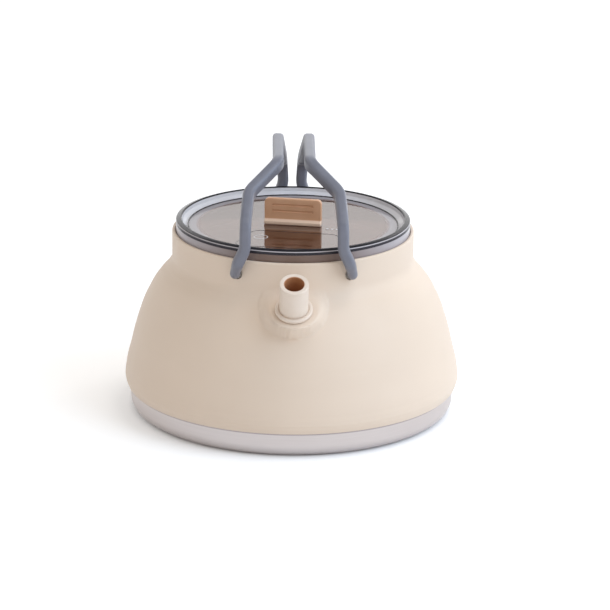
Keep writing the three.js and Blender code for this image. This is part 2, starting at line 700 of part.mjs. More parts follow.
function lidGroup() {
  const group = new THREE.Group();
  group.rotation.z = THREE.MathUtils.degToRad(LID_TURN_DEGREES);
  group.add(
    namedMesh('lid', lidBody(), materials.lid),
    namedMesh('lid_seal', lidSeal(), materials.seal),
    namedMesh('lid_tab', pullTab(), materials.tab),
    namedMesh('tab_pin', tabPin(), materials.wire),
  );
  return group;
}

function handleGroup(name, side) {
  const group = new THREE.Group();
  group.add(
    namedMesh(`${name}_handle_wire`, handleWire(side), materials.wire),
    namedMesh(`${name}_handle_sleeve`, handleSleeve(side), materials.sleeve),
  );
  return group;
}

const kettle = new THREE.Group();
kettle.add(
  namedMesh('base_pan', basePan(), materials.steel),
  namedMesh('silicone_foot_ring', footRing(), materials.silicone),
  namedMesh('silicone_fold_web', foldWeb(), materials.silicone),
  namedMesh('silicone_upper_shell', upperShell(), materials.silicone),
  namedMesh('neck_ring', neckRing(), materials.neckPlastic),
  namedMesh('spout_nozzle', spoutNozzle(), materials.spoutPlastic),
  handleGroup('left', -1),
  handleGroup('right', 1),
  lidGroup(),
);

export default kettle;
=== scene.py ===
"""The looks of a collapsible kettle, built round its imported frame.

Sizes are in millimetres and turn into metres when a mesh is made. +Z is up, the spout faces -Y, and the
origin is the centre of the pan's underside.
"""
import math

import bmesh
import bpy
import numpy as np
from mathutils import Matrix, Vector
from mathutils.bvhtree import BVHTree


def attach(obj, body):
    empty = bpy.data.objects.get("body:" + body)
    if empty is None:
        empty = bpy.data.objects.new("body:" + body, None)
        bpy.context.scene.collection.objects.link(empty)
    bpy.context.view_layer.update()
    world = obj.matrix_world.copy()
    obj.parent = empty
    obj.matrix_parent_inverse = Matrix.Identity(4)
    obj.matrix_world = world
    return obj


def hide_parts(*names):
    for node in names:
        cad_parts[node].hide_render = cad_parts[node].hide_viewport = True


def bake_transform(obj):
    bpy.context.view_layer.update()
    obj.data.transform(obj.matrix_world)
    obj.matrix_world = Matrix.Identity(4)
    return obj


MM = 0.001

# Fits
GAP = 0.3

# Steel pan
PAN_RADIUS = 88.0
PAN_CORNER_RADIUS = 7.0
PAN_SIDE_LEAN = 0.6
PAN_WALL = 0.8
PAN_RIM_DEPTH = 5.8

# Silicone body
SEAM_HEIGHT = 13.7
SEAM_SHADE_WIDTH = 1.2
SEAM_OVERHANG = 1.2
SEAM_EDGE_ROUND = 0.35
CREASE_RISE = 4.8
CREASE_OVERHANG = 1.4
FOOT_RISE = 4.5
FOLD_RISE = 21.8
DOME_RISE = 63.5
SHOULDER_STEP = 1.2
BODY_WALL = 2.4
FOLD_WALL = 1.4
FOOT_INNER_LIP = 1.1
FOLD_LINE_DEPTH = 0.06
FOLD_LINE_WIDTH = 1.1
CREASE_LINE_HEIGHT = 0.08
CREASE_LINE_WIDTH = 0.45
FOLD_WALL_BLEND = 2.0
DOME_SHARES = (
    (0, 0), (0.13, 0.04), (0.26, 0.125), (0.43, 0.232), (0.62, 0.39),
    (0.72, 0.51), (0.81, 0.635), (0.89, 0.79), (0.95, 0.93), (1, 1),
)

# Lid
LID_RADIUS = 63.2
LID_CREST_WIDTH = 3.1
LID_CREST_SLOPE = 0.9
LID_CREST_OUTER_ROUND = 0.91
LID_CREST_INNER_ROUND = 0.65
LID_CREST_WALL_LEAN = 0.5
LID_CREST_WALL_DEPTH = 2.6
LID_CREST_WALL_ROUND = 0.9
LID_RIM_WALL = 1.3
LID_RIM_WIDTH = 1.8
LID_RIM_CLEARANCE = 0.9
LID_CHANNEL_WIDTH = 7.0
LID_CHANNEL_DEPTH = 0.5
LID_CHANNEL_OUTER = 1.1
LID_CHANNEL_INNER = 0.35
LID_CHANNEL_OUTER_ROUND = 0.45
LID_CHANNEL_INNER_ROUND = 0.2
LID_HOLLOW_FLOOR_OUT = 0.2
LID_HOLLOW_TOP_IN = 0.3
LID_HOLLOW_FLOOR_ROUND = 0.4
LID_HOLLOW_TOP_ROUND = 0.2
LID_PANEL_DROP = 4.2
LID_PANEL_THICKNESS = 2.4
LID_PANEL_DISH = 0.2
LID_PANEL_FLAT = 2.0
LID_PANEL_ROUND = 0.25
LID_SKIRT_WALL = 1.8
LID_SKIRT_DEPTH = 6.5
LID_SKIRT_FOOT = 0.8
LID_SKIRT_ROOT_ROUND = 0.6
LID_SKIRT_FOOT_ROUND = 0.15
LID_RIM_ROOT_ROUND = 0.5
LID_EDGE_ROUND = 0.3
LID_TURN = math.radians(-9.8)

# Neck
NECK_WALL = 1.7
NECK_RISE = 17.8
NECK_FILLET = 3.2
NECK_FILLET_OUT = 0.15
NECK_FILLET_RISE = 0.6
NECK_TOP_ROUND = 0.8
NECK_INNER_ROUND = 0.3
NECK_RING_WIDTH = 6.2
NECK_RING_DROP = 2.8
NECK_RING_FOOT_ROUND = 0.4
NECK_RING_TOP_ROUND = 0.5
LEDGE_RISE = 3.9
LEDGE_DEPTH = 3.0
LEDGE_THICKNESS = 2.5

# Lid seal
SEAL_WALL = 0.6
SEAL_LIPS = 2
SEAL_LIP_HEIGHT = 1.1
SEAL_LIP_ROUND = 0.12
SEAL_EDGE_ROUND = 0.15

# Pull tab and its hinge
TAB_WIDTH = 31.0
TAB_HEIGHT = 14.2
TAB_THICKNESS = 3.0
TAB_CORNER_RADIUS = 2.4
TAB_EDGE_ROUND = 0.55
TAB_LEAST_ROUND = 0.05
TAB_BACK_FOOT = 0.5
TAB_BARREL_RADIUS = 2.5
TAB_FACE = -1.5
TAB_LEDGE_RISE = 0.2
TAB_LEDGE_DROP = 1.3
TAB_LEDGE_REACH = 1.5
TAB_LEDGE_ROUND = 0.35
TAB_SKIRT_CLEARANCE = -0.1
TAB_GROOVE_INSET = 4.8
TAB_GROOVE_WIDTH = 1.2
TAB_GROOVE_SHARES = (0.25, 0.485)
TAB_PIN_RADIUS = 0.7
TAB_PIN_INSET = 2.5
EAR_WIDTH = 3.0
EAR_RADIUS = 1.15
EAR_SPACING = 14.0
EAR_ROOT = 1.0

# Spout
SPOUT_ELEVATION = math.radians(62)
SPOUT_STANDOFF = 4.9
SPOUT_DROP = 3.7
SPOUT_LENGTH = 17.8
SPOUT_RADIUS = 7.6
SPOUT_BORE = 5.1
SPOUT_FLANGE_RADIUS = 9.9
SPOUT_FLANGE_THICKNESS = 2.0
SPOUT_FLANGE_ROUND = 0.7
SPOUT_GROOVE = 0.6
SPOUT_GROOVE_TOP_ROUND = 0.15
SPOUT_GROOVE_FOOT_ROUND = 0.1
SPOUT_LIP_ROUND = 0.5
SPOUT_END_ROUND = 0.3
SPOUT_SHANK_RADIUS = 6.7
SPOUT_BARB_RADIUS = 8.8
SPOUT_BARB_THICKNESS = 1.5
SPOUT_BARB_ROUND = 0.25
SPOUT_HOLE_ABOVE = 2.0
SPOUT_HOLE_BELOW = 8.0
BOSS_TOP_RADIUS = 12.6
BOSS_FOOT_RADIUS = 18.0
BOSS_FOOT_DROP = 6.5
BOSS_FOOT_LIFT = 2.5
BOSS_FOOT_SINK = 2.3
BOSS_BLEND = 4.5
BOSS_SIDE_MARGIN = 3.0
BOSS_FOLD_MARGIN = 4.0
BOSS_NECK_MARGIN = 6.0
BOSS_LEDGE_MARGIN = 1.0

# Bail handles. A spread is the distance from the middle plane, a rise is above the pivots,
# and an outset is further out along Y than the pivot of the same end.
WIRE_RADIUS = 1.6
SLEEVE_WALL = 0.75
PIVOT_DROP = 7.6
PIVOT_STANDOFF = 3.4
PIVOT_HOLE_CLEARANCE = 0.55
PIVOT_HOLE_SHIFT = 0.6
PIVOT_HOLE_START = 1.0
FRONT_PIVOT_SPREAD = 31.1
REAR_PIVOT_SPREAD = 10.1
WIRE_INSERTION = 6.1
SLEEVE_INSERTION = 1.3
SLEEVE_HALF_WIDTH = 3.0
SLEEVE_CORNER = 2.0
SLEEVE_BAR_OUT = 3.0
SLEEVE_BAR_IN = 4.7
SLEEVE_LEG_OUT = 4.6
SLEEVE_LEG_IN = 2.8
SLEEVE_LEG_SLOPES = (0.72, 0.95)
SLEEVE_ROUND_END = 5.5
SLEEVE_GROWTH = 8.0
ELBOW_BEND = 3.6
LEG_BEND = 12.0
KNEE_BEND = 14.0
GRIP_BEND = 12.0
GRIP_RISE = 51.4
GRIP_HALF_LENGTH = 25.1
GRIP_SPREAD = 8.4
KNEE_RUN = 17.9
KNEE_SPREAD = 24.0
KNEE_RISE = 39.9
FRONT_LEG_OUTSET = 2.2
FRONT_ANKLE_SPREAD = 29.6
FRONT_ANKLE_RISE = 6.8
ANKLE_BEND = 7.0
FRONT_LEG_FOOT_SPREAD = 25.7
FRONT_LEG_FOOT_RISE = 15.0
FRONT_LEG_TOP_SPREAD = 25.5
FRONT_LEG_TOP_RISE = 29.2
REAR_LEG_OUTSET = 0.35
REAR_LEG_FOOT_SPREAD = 5.0
REAR_LEG_FOOT_RISE = 14.3
REAR_LEG_TOP_SPREAD = 5.9
REAR_LEG_TOP_RISE = 28.8

# Moulded outline, printed marks and a painted shade line on the lid
OUTLINE_HALF_BACK = 22.5
OUTLINE_HALF_FRONT = 29.5
OUTLINE_CENTRE = 4.0
OUTLINE_BACK = -15.0
OUTLINE_FRONT = -45.0
OUTLINE_CORNER = 5.0
OUTLINE_LINE_RADIUS = 0.38
# The panel line is a dark tube laid along the panel's edge as painted shade.
PANEL_LINE_RADIUS = 0.36
PANEL_LINE_SINK_SHARE = 0.3
MARK_LINE_RADIUS = 0.3
MARK_RING_RADIUS = 3.6
MARK_DOT_RADIUS = 0.7
MARK_CENTRE = (-13.0, -27.0)
MARK_ROW_START = (19.5, -5.5)
MARK_ROW_STEP = 2.6
MARK_ROW_COUNT = 4
MARK_SINK_SHARE = 0.72

# Finishes. A grain is the depth of a fine bump, and a share is how much of a clear piece is solid.
SILICONE_GRAIN = 0.012
STEEL_GRAIN = 0.004
PLASTIC_GRAIN = 0.01
SPOUT_GRAIN = 0.008
TAB_GRAIN = 0.012
SLEEVE_GRAIN = 0.014
LID_GRAIN = 0.01
SPOUT_DARK_START = 0.05
# How far below and above the ledge's top the tab's painted light fades in.
LEDGE_LIT_BELOW = 0.4
LEDGE_LIT_ABOVE = 0.1
SMOKE_TINT = (0.45, 0.25, 0.14, 1)
SMOKE_DENSITY = 40.0
SMOKE_FADE = 0.25
# Depths below the crest of the rim's painted dark top, painted highlight and painted shade band, and where
# the wall's painted side reflection starts.
RIM_DARK_DEPTH = 0.2
RIM_HIGHLIGHT_DEPTH = 0.45
RIM_SHADE_DEPTH = 2.0
RIM_SHADE_FADE = 0.35
RIM_FADE = 0.15
RIM_LIP_DEPTH = 1.0
RIM_SIDE_REFLECTION_START = 18.0
RIM_SOLID_SHARE = 0.88
RIM_SPECULAR = 0.1
CHANNEL_START = 0.3
CHANNEL_SOLID_SHARE = 0.8
PANEL_SOLID_SHARE = 0.2
PANEL_HAZE_WIDTH = 7.0
PANEL_HAZE_FADE = 3.5

# Floor and light. Half the floor's width is in metres, the glow's start and end are distances from the
# kettle's middle, and the ceiling's are heights of a direction, where 1 is straight up.
WHITE = (1, 1, 1, 1)
FLOOR_HALF = 3.0
FLOOR_COLOUR = (0.9, 0.9, 0.9, 1)
FLOOR_GLOW = 0.24
# Inside GLOW_START the floor has no glow, which paints a contact shade round the kettle's foot.
GLOW_START = 82.0
GLOW_END = 89.5
WORLD_LIGHT = 0.64
WORLD_COLOUR = (1.0, 0.97, 0.94, 1)
CEILING_START = 0.45
CEILING_END = 0.75
CEILING_LIGHT = 0.2

# Each lamp's place and target in metres, its width in metres, its power and its colour
LAMPS = {
    "key_lamp": ((1.72, -0.82, 1.3), (0, 0, 0.05), 2.0, 28, (0.6, 0.78, 1.0)),
    "rim_lamp": ((1.1, 1.0, 0.5), (0, 0, 0.12), 0.5, 2.5, (1, 1, 1)),
    "top_lamp": ((0.5, 0.0, 1.5), (0, 0, 0.05), 0.8, 4.6, (1, 1, 1)),
    "back_lamp": ((0, 2.4, 0.95), (0, 0, 0.1), 2.2, 9, (1, 1, 1)),
}

# Camera, with its place in metres
CAMERA_PLACE = (-0.01956, -1.7999, 0.6317)
CAMERA_HEADING = math.radians(-0.843)
CAMERA_PITCH = math.radians(17.72)
CAMERA_ROLL = math.radians(0.67)
CAMERA_LENS = 205.2
CAMERA_NEAR = 0.05
CAMERA_FAR = 20
SENSOR_WIDTH = 36.0

# Fineness. A sharp angle is in degrees, any other angle in radians. STEPS, SIDES and ROWS are counts. A
# STEP alone is a length, except at the body's front, where it is an angle.
MERGE_DISTANCE = 1e-4
SHARP_ANGLE = 40
BODY_SHARP_ANGLE = 50
TAB_SHARP_ANGLE = 35
FRONT_STEP = math.radians(0.6)
FRONT_REACH = math.radians(33)
AROUND_STEPS = 160
FINE_AROUND_STEPS = 240
BODY_AROUND_STEPS = 150
SPOUT_SIDES = 96
BOSS_FLANK_STEPS = 14
CURVE_STEPS = 24
NECK_FILLET_STEPS = 12
EDGE_STEPS = 3
SLOPE_STEP = 0.25
NECK_ROW_STEP = 0.7
BORE_ROW_STEP = 1.5
BORE_ROW_END = 0.5
INNER_ROW_STEP = 1.2
INNER_ROW_END = 0.6
PANEL_ROWS = 24
CORNER_STEPS = 6
BEND_STEPS = 12
BORE_STEPS = 40
PIN_HOLE_STEPS = 20
WIRE_SIDES = 16
LINE_SIDES = 10
MARK_SIDES = 8
MARK_STEPS = 48
DOT_SIDES = 24
EAR_STEPS = 20
SLOT_STEPS = 12
TAB_SKIRT_STEPS = 8
TAB_BARREL_STEPS = 16
TAB_EDGE_STEPS = 5
TAB_CORNER_STEPS = 12
GROOVE_SIDES = 20
GROOVE_END_STEPS = 6
GROOVE_END_ANGLE = 0.12
SLEEVE_STEP = 0.8
SLEEVE_SIDES = 32

# Radii and heights that follow from the sizes above
NECK_RADIUS = LID_RADIUS + GAP + NECK_WALL
MOUTH_RADIUS = LID_RADIUS - NECK_RING_WIDTH
SEAM_RADIUS = PAN_RADIUS + SEAM_OVERHANG
CREASE_RADIUS = SEAM_RADIUS + CREASE_OVERHANG
SHOULDER_TOP_RADIUS = NECK_RADIUS + SHOULDER_STEP
PAN_RIM_HEIGHT = SEAM_HEIGHT + PAN_RIM_DEPTH
CREASE_HEIGHT = SEAM_HEIGHT + CREASE_RISE
LOWER_FOLD_HEIGHT = CREASE_HEIGHT + FOOT_RISE
UPPER_FOLD_HEIGHT = LOWER_FOLD_HEIGHT + FOLD_RISE
SHOULDER_TOP_HEIGHT = CREASE_HEIGHT + DOME_RISE
LEDGE_HEIGHT = SHOULDER_TOP_HEIGHT + LEDGE_RISE
NECK_TOP = SHOULDER_TOP_HEIGHT + NECK_RISE
NECK_RING_TOP = NECK_TOP - NECK_RING_DROP
LID_RIM_UNDERSIDE = NECK_RING_TOP + GAP + LID_RIM_CLEARANCE
LID_PANEL_UNDERSIDE = LID_RIM_UNDERSIDE + LID_RIM_WIDTH
LID_PANEL_TOP = LID_PANEL_UNDERSIDE + LID_PANEL_THICKNESS
LID_PANEL_RADIUS = LID_RADIUS - LID_CHANNEL_WIDTH
LID_CREST_TOP = LID_PANEL_TOP + LID_PANEL_DROP
PIN_HEIGHT = LID_PANEL_TOP + TAB_BARREL_RADIUS + GAP
PIVOT_HEIGHT = NECK_TOP - PIVOT_DROP
SLEEVE_RADIUS = WIRE_RADIUS + GAP + SLEEVE_WALL
BORE_RADIUS = LID_RADIUS + GAP
BOSS_TOP = -SPOUT_FLANGE_THICKNESS / 2 - GAP
BOSS_FOOT_HEIGHT = SHOULDER_TOP_HEIGHT - BOSS_FOOT_DROP

# Rows of points on the outside of the body, in runs from the seam up: the rise to a run's first row, the
# height where the run ends, and the rise from row to row
OUTER_RUNS = (
    (SEAM_EDGE_ROUND, LOWER_FOLD_HEIGHT + 2.0, 0.3),
    (0.9, UPPER_FOLD_HEIGHT - 2.5, 1.1),
    (0.5, UPPER_FOLD_HEIGHT + 2.5, 0.5),
    (0.6, SHOULDER_TOP_HEIGHT - 1.2, 0.6),
)

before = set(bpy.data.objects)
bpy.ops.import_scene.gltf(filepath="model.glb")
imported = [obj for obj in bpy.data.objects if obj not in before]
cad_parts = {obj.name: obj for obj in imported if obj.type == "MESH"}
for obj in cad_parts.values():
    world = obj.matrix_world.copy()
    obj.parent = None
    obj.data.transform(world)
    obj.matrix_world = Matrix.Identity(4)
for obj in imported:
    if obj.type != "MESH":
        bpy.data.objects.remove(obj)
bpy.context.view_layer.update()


# Outlines and meshes

def arc(centre, radius, start, end, steps):
    """Points on a circular arc in [radius, height], both ends included."""
    angles = np.linspace(start, end, steps + 1)
    return [(centre[0] + radius * math.cos(a), centre[1] + radius * math.sin(a)) for a in angles]


def rounded(corners, steps=CORNER_STEPS):
    """A closed outline from (x, y, fillet) corners, with each corner rounded to its fillet."""
    points = []
    for i, (x, y, fillet) in enumerate(corners):
        at = np.array((x, y), float)
        if fillet <= 0:
            points.append(tuple(at))
            continue
        back = np.array(corners[i - 1][:2], float) - at
        ahead = np.array(corners[(i + 1) % len(corners)][:2], float) - at
        back /= np.linalg.norm(back)
        ahead /= np.linalg.norm(ahead)
        half = math.acos(np.clip(back @ ahead, -1, 1)) / 2
        middle = (back + ahead) / np.linalg.norm(back + ahead)
        centre = at + middle * fillet / math.sin(half)
        start = at + back * fillet / math.tan(half) - centre
        end = at + ahead * fillet / math.tan(half) - centre
        sweep = math.pi - 2 * half
        for s in np.linspace(0, 1, steps + 1):
            p = start * math.sin((1 - s) * sweep) + end * math.sin(s * sweep)
            points.append(tuple(centre + p / math.sin(sweep)))
    return points


def new_object(name, data):
    made = bpy.data.objects.new(name, data)
    bpy.context.scene.collection.objects.link(made)
    return made


def make_piece(name, points, faces, sharp=SHARP_ANGLE):
    """A mesh object from points in millimetres, with its faces turned outwards and shaded smooth."""
    mesh = bpy.data.meshes.new(name)
    mesh.from_pydata((np.asarray(points, float) * MM).tolist(), [], faces)
    piece = new_object(name, mesh)
    tidy_mesh(piece, sharp)
    return piece


def tidy_mesh(piece, sharp=SHARP_ANGLE):
    """Merges doubles, turns the faces outwards, and shades smooth but for edges past the sharp angle."""
    mesh = bmesh.new()
    mesh.from_mesh(piece.data)
    bmesh.ops.remove_doubles(mesh, verts=mesh.verts, dist=MERGE_DISTANCE * MM)
    bmesh.ops.recalc_face_normals(mesh, faces=mesh.faces)
    mesh.to_mesh(piece.data)
    mesh.free()
    piece.data.polygons.foreach_set("use_smooth", [True] * len(piece.data.polygons))
    piece.data.set_sharp_from_angle(angle=math.radians(sharp))


def turned_mesh(profile, angles):
    """Points and faces of a body turned about Z from a closed [radius, height] outline."""
    profile = np.asarray(profile, float)
    rows, turns = len(profile), len(angles)
    points = np.zeros((turns, rows, 3))
    points[:, :, 0] = profile[:, 0] * np.cos(angles)[:, None]
    points[:, :, 1] = profile[:, 0] * np.sin(angles)[:, None]
    points[:, :, 2] = profile[:, 1]
    faces = []
    for i in range(turns):
        for j in range(rows):
            a, b = i * rows + j, i * rows + (j + 1) % rows
            c, d = (i + 1) % turns * rows + (j + 1) % rows, (i + 1) % turns * rows + j
            if max(profile[j, 0], profile[(j + 1) % rows, 0]) > 0:
                faces.append((a, b, c, d))
    return points.reshape(-1, 3), faces


def even_angles(steps):
    return np.linspace(0, 2 * math.pi, steps, endpoint=False)


def turned(name, profile, steps=AROUND_STEPS, place=None):
    """A piece turned about Z, then placed by a matrix in millimetres."""
    points, faces = turned_mesh(profile, even_angles(steps))
    if place is not None:
        points = points @ np.array(place.to_3x3()).T + np.array(place.translation)
    return make_piece(name, points, faces)


def skin(rows, sides):
    """Faces over rows of points that each close on themselves, with a cap at both ends."""
    last = (rows - 1) * sides
    faces = [tuple(range(sides)), tuple(last + i for i in reversed(range(sides)))]
    for row in range(rows - 1):
        for i in range(sides):
            a, b = row * sides + i, row * sides + (i + 1) % sides
            faces.append((a, b, b + sides, a + sides))
    return faces


def lofted(circles, steps):
    """Points and faces through circles given as (centre, across, up, radius), capped at both ends."""
    angles = even_angles(steps)
    points = []
    for centre, across, up, radius in circles:
        ring = np.cos(angles)[:, None] * across + np.sin(angles)[:, None] * up
        points.extend(centre + radius * ring)
    return np.array(points), skin(len(circles), steps)


def extruded(outline, centre, half):
    """Points and faces of an outline in Y and Z, drawn out along X by half to each side of a centre."""
    points = [(centre + x, y, z) for x in (-half, half) for y, z in outline]
    return points, skin(2, len(outline))


def finished_mesh(piece):
    """A new mesh of a piece with its modifiers applied."""
    bpy.context.view_layer.update()
    graph = bpy.context.evaluated_depsgraph_get()
    return bpy.data.meshes.new_from_object(piece.evaluated_get(graph), depsgraph=graph)


def cut(piece, cutter, operation="DIFFERENCE"):
    """Cuts or joins another mesh object into a piece, and deletes that object."""
    modifier = piece.modifiers.new("cut", "BOOLEAN")
    modifier.operation = operation
    modifier.solver = "EXACT"
    modifier.object = cutter
    mesh = finished_mesh(piece)
    piece.modifiers.clear()
    old = piece.data
    piece.data = mesh
    bpy.data.meshes.remove(old)
    bpy.data.objects.remove(cutter)


def joined(name, parts):
    """One mesh object from several (points, faces) pairs."""
    points, faces, first = [], [], 0
    for part_points, part_faces in parts:
        points.extend(part_points)
        faces.extend(tuple(first + i for i in face) for face in part_faces)
        first += len(part_points)
    return make_piece(name, points, faces)


def round_bar(start, end, radius, steps=BORE_STEPS):
    """Points and faces of a straight round bar."""
    start, end = np.array(start, float), np.array(end, float)
    axis = (end - start) / np.linalg.norm(end - start)
    across = np.cross(axis, (0, 0, 1.0))
    across /= np.linalg.norm(across)
    up = np.cross(across, axis)
    return lofted([(start, across, up, radius), (end, across, up, radius)], steps)


# Shader tree

class Value:
    """A socket that takes part in Python sums: each operator adds its Math node."""

    def __init__(self, shader, socket):
        self.shader = shader
        self.socket = socket

    def __add__(self, other):
        return self.shader.math("ADD", self, other)

    def __rsub__(self, other):
        return self.shader.math("SUBTRACT", other, self)

    def __mul__(self, other):
        return self.shader.math("MULTIPLY", self, other)

    __radd__ = __add__
    __rmul__ = __mul__


class Shader:
    """The node tree of a material or a world, built one node at a time."""

    def __init__(self, name, world=False):
        store = bpy.data.worlds if world else bpy.data.materials
        self.made = store.new(name)
        self.made.use_nodes = True
        self.tree = self.made.node_tree
        self.tree.nodes.clear()

    def node(self, kind, settings=None, inputs=None, output=0):
        """Adds a node, sets its settings first and then its sockets, and gives back one output, if any."""
        made = self.tree.nodes.new(kind)
        for key, value in (settings or {}).items():
            setattr(made, key, value)
        for key, value in (inputs or {}).items():
            if isinstance(value, Value):
                self.tree.links.new(value.socket, made.inputs[key])
            else:
                made.inputs[key].default_value = value
        return Value(self, made.outputs[output]) if made.outputs else None

    def math(self, operation, *values):
        return self.node("ShaderNodeMath", {"operation": operation}, dict(enumerate(values)))

    def vector(self, operation, *values, output="Vector"):
        return self.node("ShaderNodeVectorMath", {"operation": operation}, dict(enumerate(values)),
                         output)

    def length(self, vector):
        return self.vector("LENGTH", vector, output="Value")

    def along(self, vector, axis):
        """A vector's part along X, Y or Z."""
        return self.node("ShaderNodeSeparateXYZ", None, {0: vector}, axis)

    def mix(self, share, first, second):
        """A colour between two, by a share from 0 to 1."""
        return self.node("ShaderNodeMix", {"data_type": "RGBA"}, {0: share, 6: first, 7: second}, 2)

    def ramp(self, value, low, high, first=0.0, last=1.0):
        """A value stretched so that low gives first and high gives last, and held between them."""
        return self.node("ShaderNodeMapRange", {"clamp": True},
                         {0: value, 1: low, 2: high, 3: first, 4: last})

    def position(self):
        """The object position, in metres."""
        return self.node("ShaderNodeTexCoord", output="Object")

    def noise(self, scale, detail=2.0, roughness=0.5, position=None):
        sockets = {"Vector": position or self.position(), "Scale": scale, "Detail": detail,
                   "Roughness": roughness}
        return self.node("ShaderNodeTexNoise", None, sockets, "Fac")

    def bump(self, height, distance):
        return self.node("ShaderNodeBump", None, {"Height": height, "Distance": distance * MM})

    def seen(self):
        """1 for light that reaches the camera straight, mirrored or through a clear piece, or else 0."""
        ways = self.node("ShaderNodeLightPath").socket.node.outputs
        straight, mirrored = Value(self, ways["Is Camera Ray"]), Value(self, ways["Is Glossy Ray"])
        through = Value(self, ways["Is Transmission Ray"])
        return self.node("ShaderNodeMath", {"operation": "ADD", "use_clamp": True},
                         {0: straight + mirrored, 1: through})

    def principled(self, **sockets):
        """A Principled shader. A socket's name is written with _ for its spaces."""
        return self.node("ShaderNodeBsdfPrincipled", None,
                         {key.replace("_", " "): value for key, value in sockets.items()}, "BSDF")

    def end(self, output="ShaderNodeOutputMaterial", **sockets):
        """Ends the tree in its output node, and gives back the material or the world."""
        self.node(output, None, sockets)
        return self.made

    def surface(self, **sockets):
        """Ends the tree in one Principled shader."""
        return self.end(Surface=self.principled(**sockets))


def srgb(red, green, blue, alpha=1.0):
    """A colour written as screen numbers from 0 to 255, as the linear values that nodes take."""
    def linear(v):
        v /= 255
        return v / 12.92 if v <= 0.04045 else ((v + 0.055) / 1.055) ** 2.4
    return (linear(red), linear(green), linear(blue), alpha)


# Finishes

def silicone_finish():
    """Matt moulded silicone: faint cloudy colour, a powdery roughness and a very fine grain."""
    s = Shader("moulded_silicone")
    cloud = s.ramp(s.noise(18, 3), 0.3, 0.7)
    colour = s.mix(cloud, srgb(226, 207, 188), srgb(230, 211, 192))
    rough = 0.5 + 0.08 * s.ramp(s.noise(60, 3), 0.3, 0.7)
    grain = s.noise(2600, 2) + 0.6 * s.noise(900, 2)
    return s.surface(Base_Color=colour, Roughness=rough, Normal=s.bump(grain, SILICONE_GRAIN),
                     IOR=1.41, Sheen_Weight=0.12, Sheen_Roughness=0.5)


def steel_finish():
    """Satin stainless steel, brushed round the pan in long fine scratches that follow the turn, with
    painted shade under the silicone.
    """
    s = Shader("brushed_steel")
    where = s.position()
    x, y, z = (s.along(where, axis) for axis in "XYZ")
    turn = s.math("ARCTAN2", y, x)
    out = s.math("SQRT", x * x + y * y)
    lines = s.node("ShaderNodeCombineXYZ", None, {0: turn * 3, 1: z * 2600, 2: out * 2600})
    scratch = s.noise(1.0, 3, 0.6, lines)
    broad = s.node("ShaderNodeCombineXYZ", None, {0: turn * 1.5, 1: z * 300, 2: out * 300})
    band = s.noise(1.0, 2, 0.5, broad)
    satin = s.mix(s.ramp(scratch, 0.2, 0.8), srgb(199, 191, 189), srgb(206, 199, 197))
    # Painted shade: a darker band on the steel just under the silicone's edge, where that edge shades it.
    seam = s.ramp(z, (SEAM_HEIGHT - SEAM_SHADE_WIDTH) * MM, (SEAM_HEIGHT - SEAM_SHADE_WIDTH / 2) * MM)
    colour = s.mix(seam, satin, srgb(160, 149, 151))
    rough = 0.36 + 0.06 * s.ramp(band, 0.3, 0.7) + 0.04 * scratch
    return s.surface(Base_Color=colour, Metallic=1.0, Roughness=rough,
                     Normal=s.bump(scratch, STEEL_GRAIN))


def mottled(s, low, high):
    """A slightly mottled colour, from two written as screen numbers."""
    return s.mix(s.ramp(s.noise(90, 2), 0.35, 0.65), srgb(*low), srgb(*high))


def satin_plastic(s, colour, rough, grain):
    """Ends a tree as moulded plastic with a fine satin grain."""
    fine = rough + 0.06 * s.noise(400, 2)
    return s.surface(Base_Color=colour, Roughness=fine, Normal=s.bump(s.noise(1800, 2), grain))


def plain_finish(name, low, high, rough):
    """Moulded plastic or rubber of one mottled colour."""
    s = Shader(name)
    return satin_plastic(s, mottled(s, low, high), rough, PLASTIC_GRAIN)


def tan_finish():
    """Tan moulded plastic, with the ledge at the tab's foot painted paler as painted light from above."""
    s = Shader("tan_tab")
    # Painted light: the tab is painted paler below its ledge's top, as if that ledge were lit from above.
    ledge_top = PIN_HEIGHT + TAB_LEDGE_RISE
    upper = s.ramp(s.along(s.position(), "Z"), (ledge_top - LEDGE_LIT_BELOW) * MM,
                   (ledge_top + LEDGE_LIT_ABOVE) * MM)
    flap = mottled(s, (215, 164, 127), (222, 172, 135))
    ledge = mottled(s, (240, 208, 182), (246, 215, 190))
    return satin_plastic(s, s.mix(upper, ledge, flap), 0.36, TAB_GRAIN)


def spout_finish():
    """Pale moulded plastic, darker and browner inside the bore."""
    s = Shader("spout_plastic")
    from_axis = s.vector("SUBTRACT", s.position(), tuple(spout_point() * MM))
    away = s.length(s.vector("CROSS_PRODUCT", from_axis, tuple(lean(SPOUT_ELEVATION)[0])))
    outside = s.ramp(away, (SPOUT_BORE + SPOUT_DARK_START) * MM, (SPOUT_BORE + SPOUT_LIP_ROUND) * MM)
    bore_colour = mottled(s, (186, 130, 90), (196, 140, 100))
    outer_colour = mottled(s, (229, 213, 197), (233, 217, 202))
    return satin_plastic(s, s.mix(outside, bore_colour, outer_colour), 0.36, SPOUT_GRAIN)


def sleeve_finish():
    """Grey soft sleeve on the handles, matt, with a rubbed and slightly dusty surface."""
    s = Shader("grey_sleeve")
    dust = s.ramp(s.noise(140, 4, 0.6), 0.35, 0.75)
    colour = s.mix(dust, srgb(114, 115, 126), srgb(121, 122, 133))
    rough = 0.37 + 0.1 * dust
    grain = s.noise(3000, 2) + 0.5 * s.noise(700, 2)
    return s.surface(Base_Color=colour, Roughness=rough, Normal=s.bump(grain, SLEEVE_GRAIN),
                     Sheen_Weight=0.1, Sheen_Roughness=0.5)


def wire_finish():
    """Bright drawn wire."""
    s = Shader("drawn_wire")
    draw = s.noise(1.0, 2, 0.5, s.vector("MULTIPLY", s.position(), (1800, 120, 1800)))
    colour = s.mix(draw, srgb(176, 177, 180), srgb(206, 207, 210))
    return s.surface(Base_Color=colour, Metallic=1.0, Roughness=0.22 + 0.14 * draw)


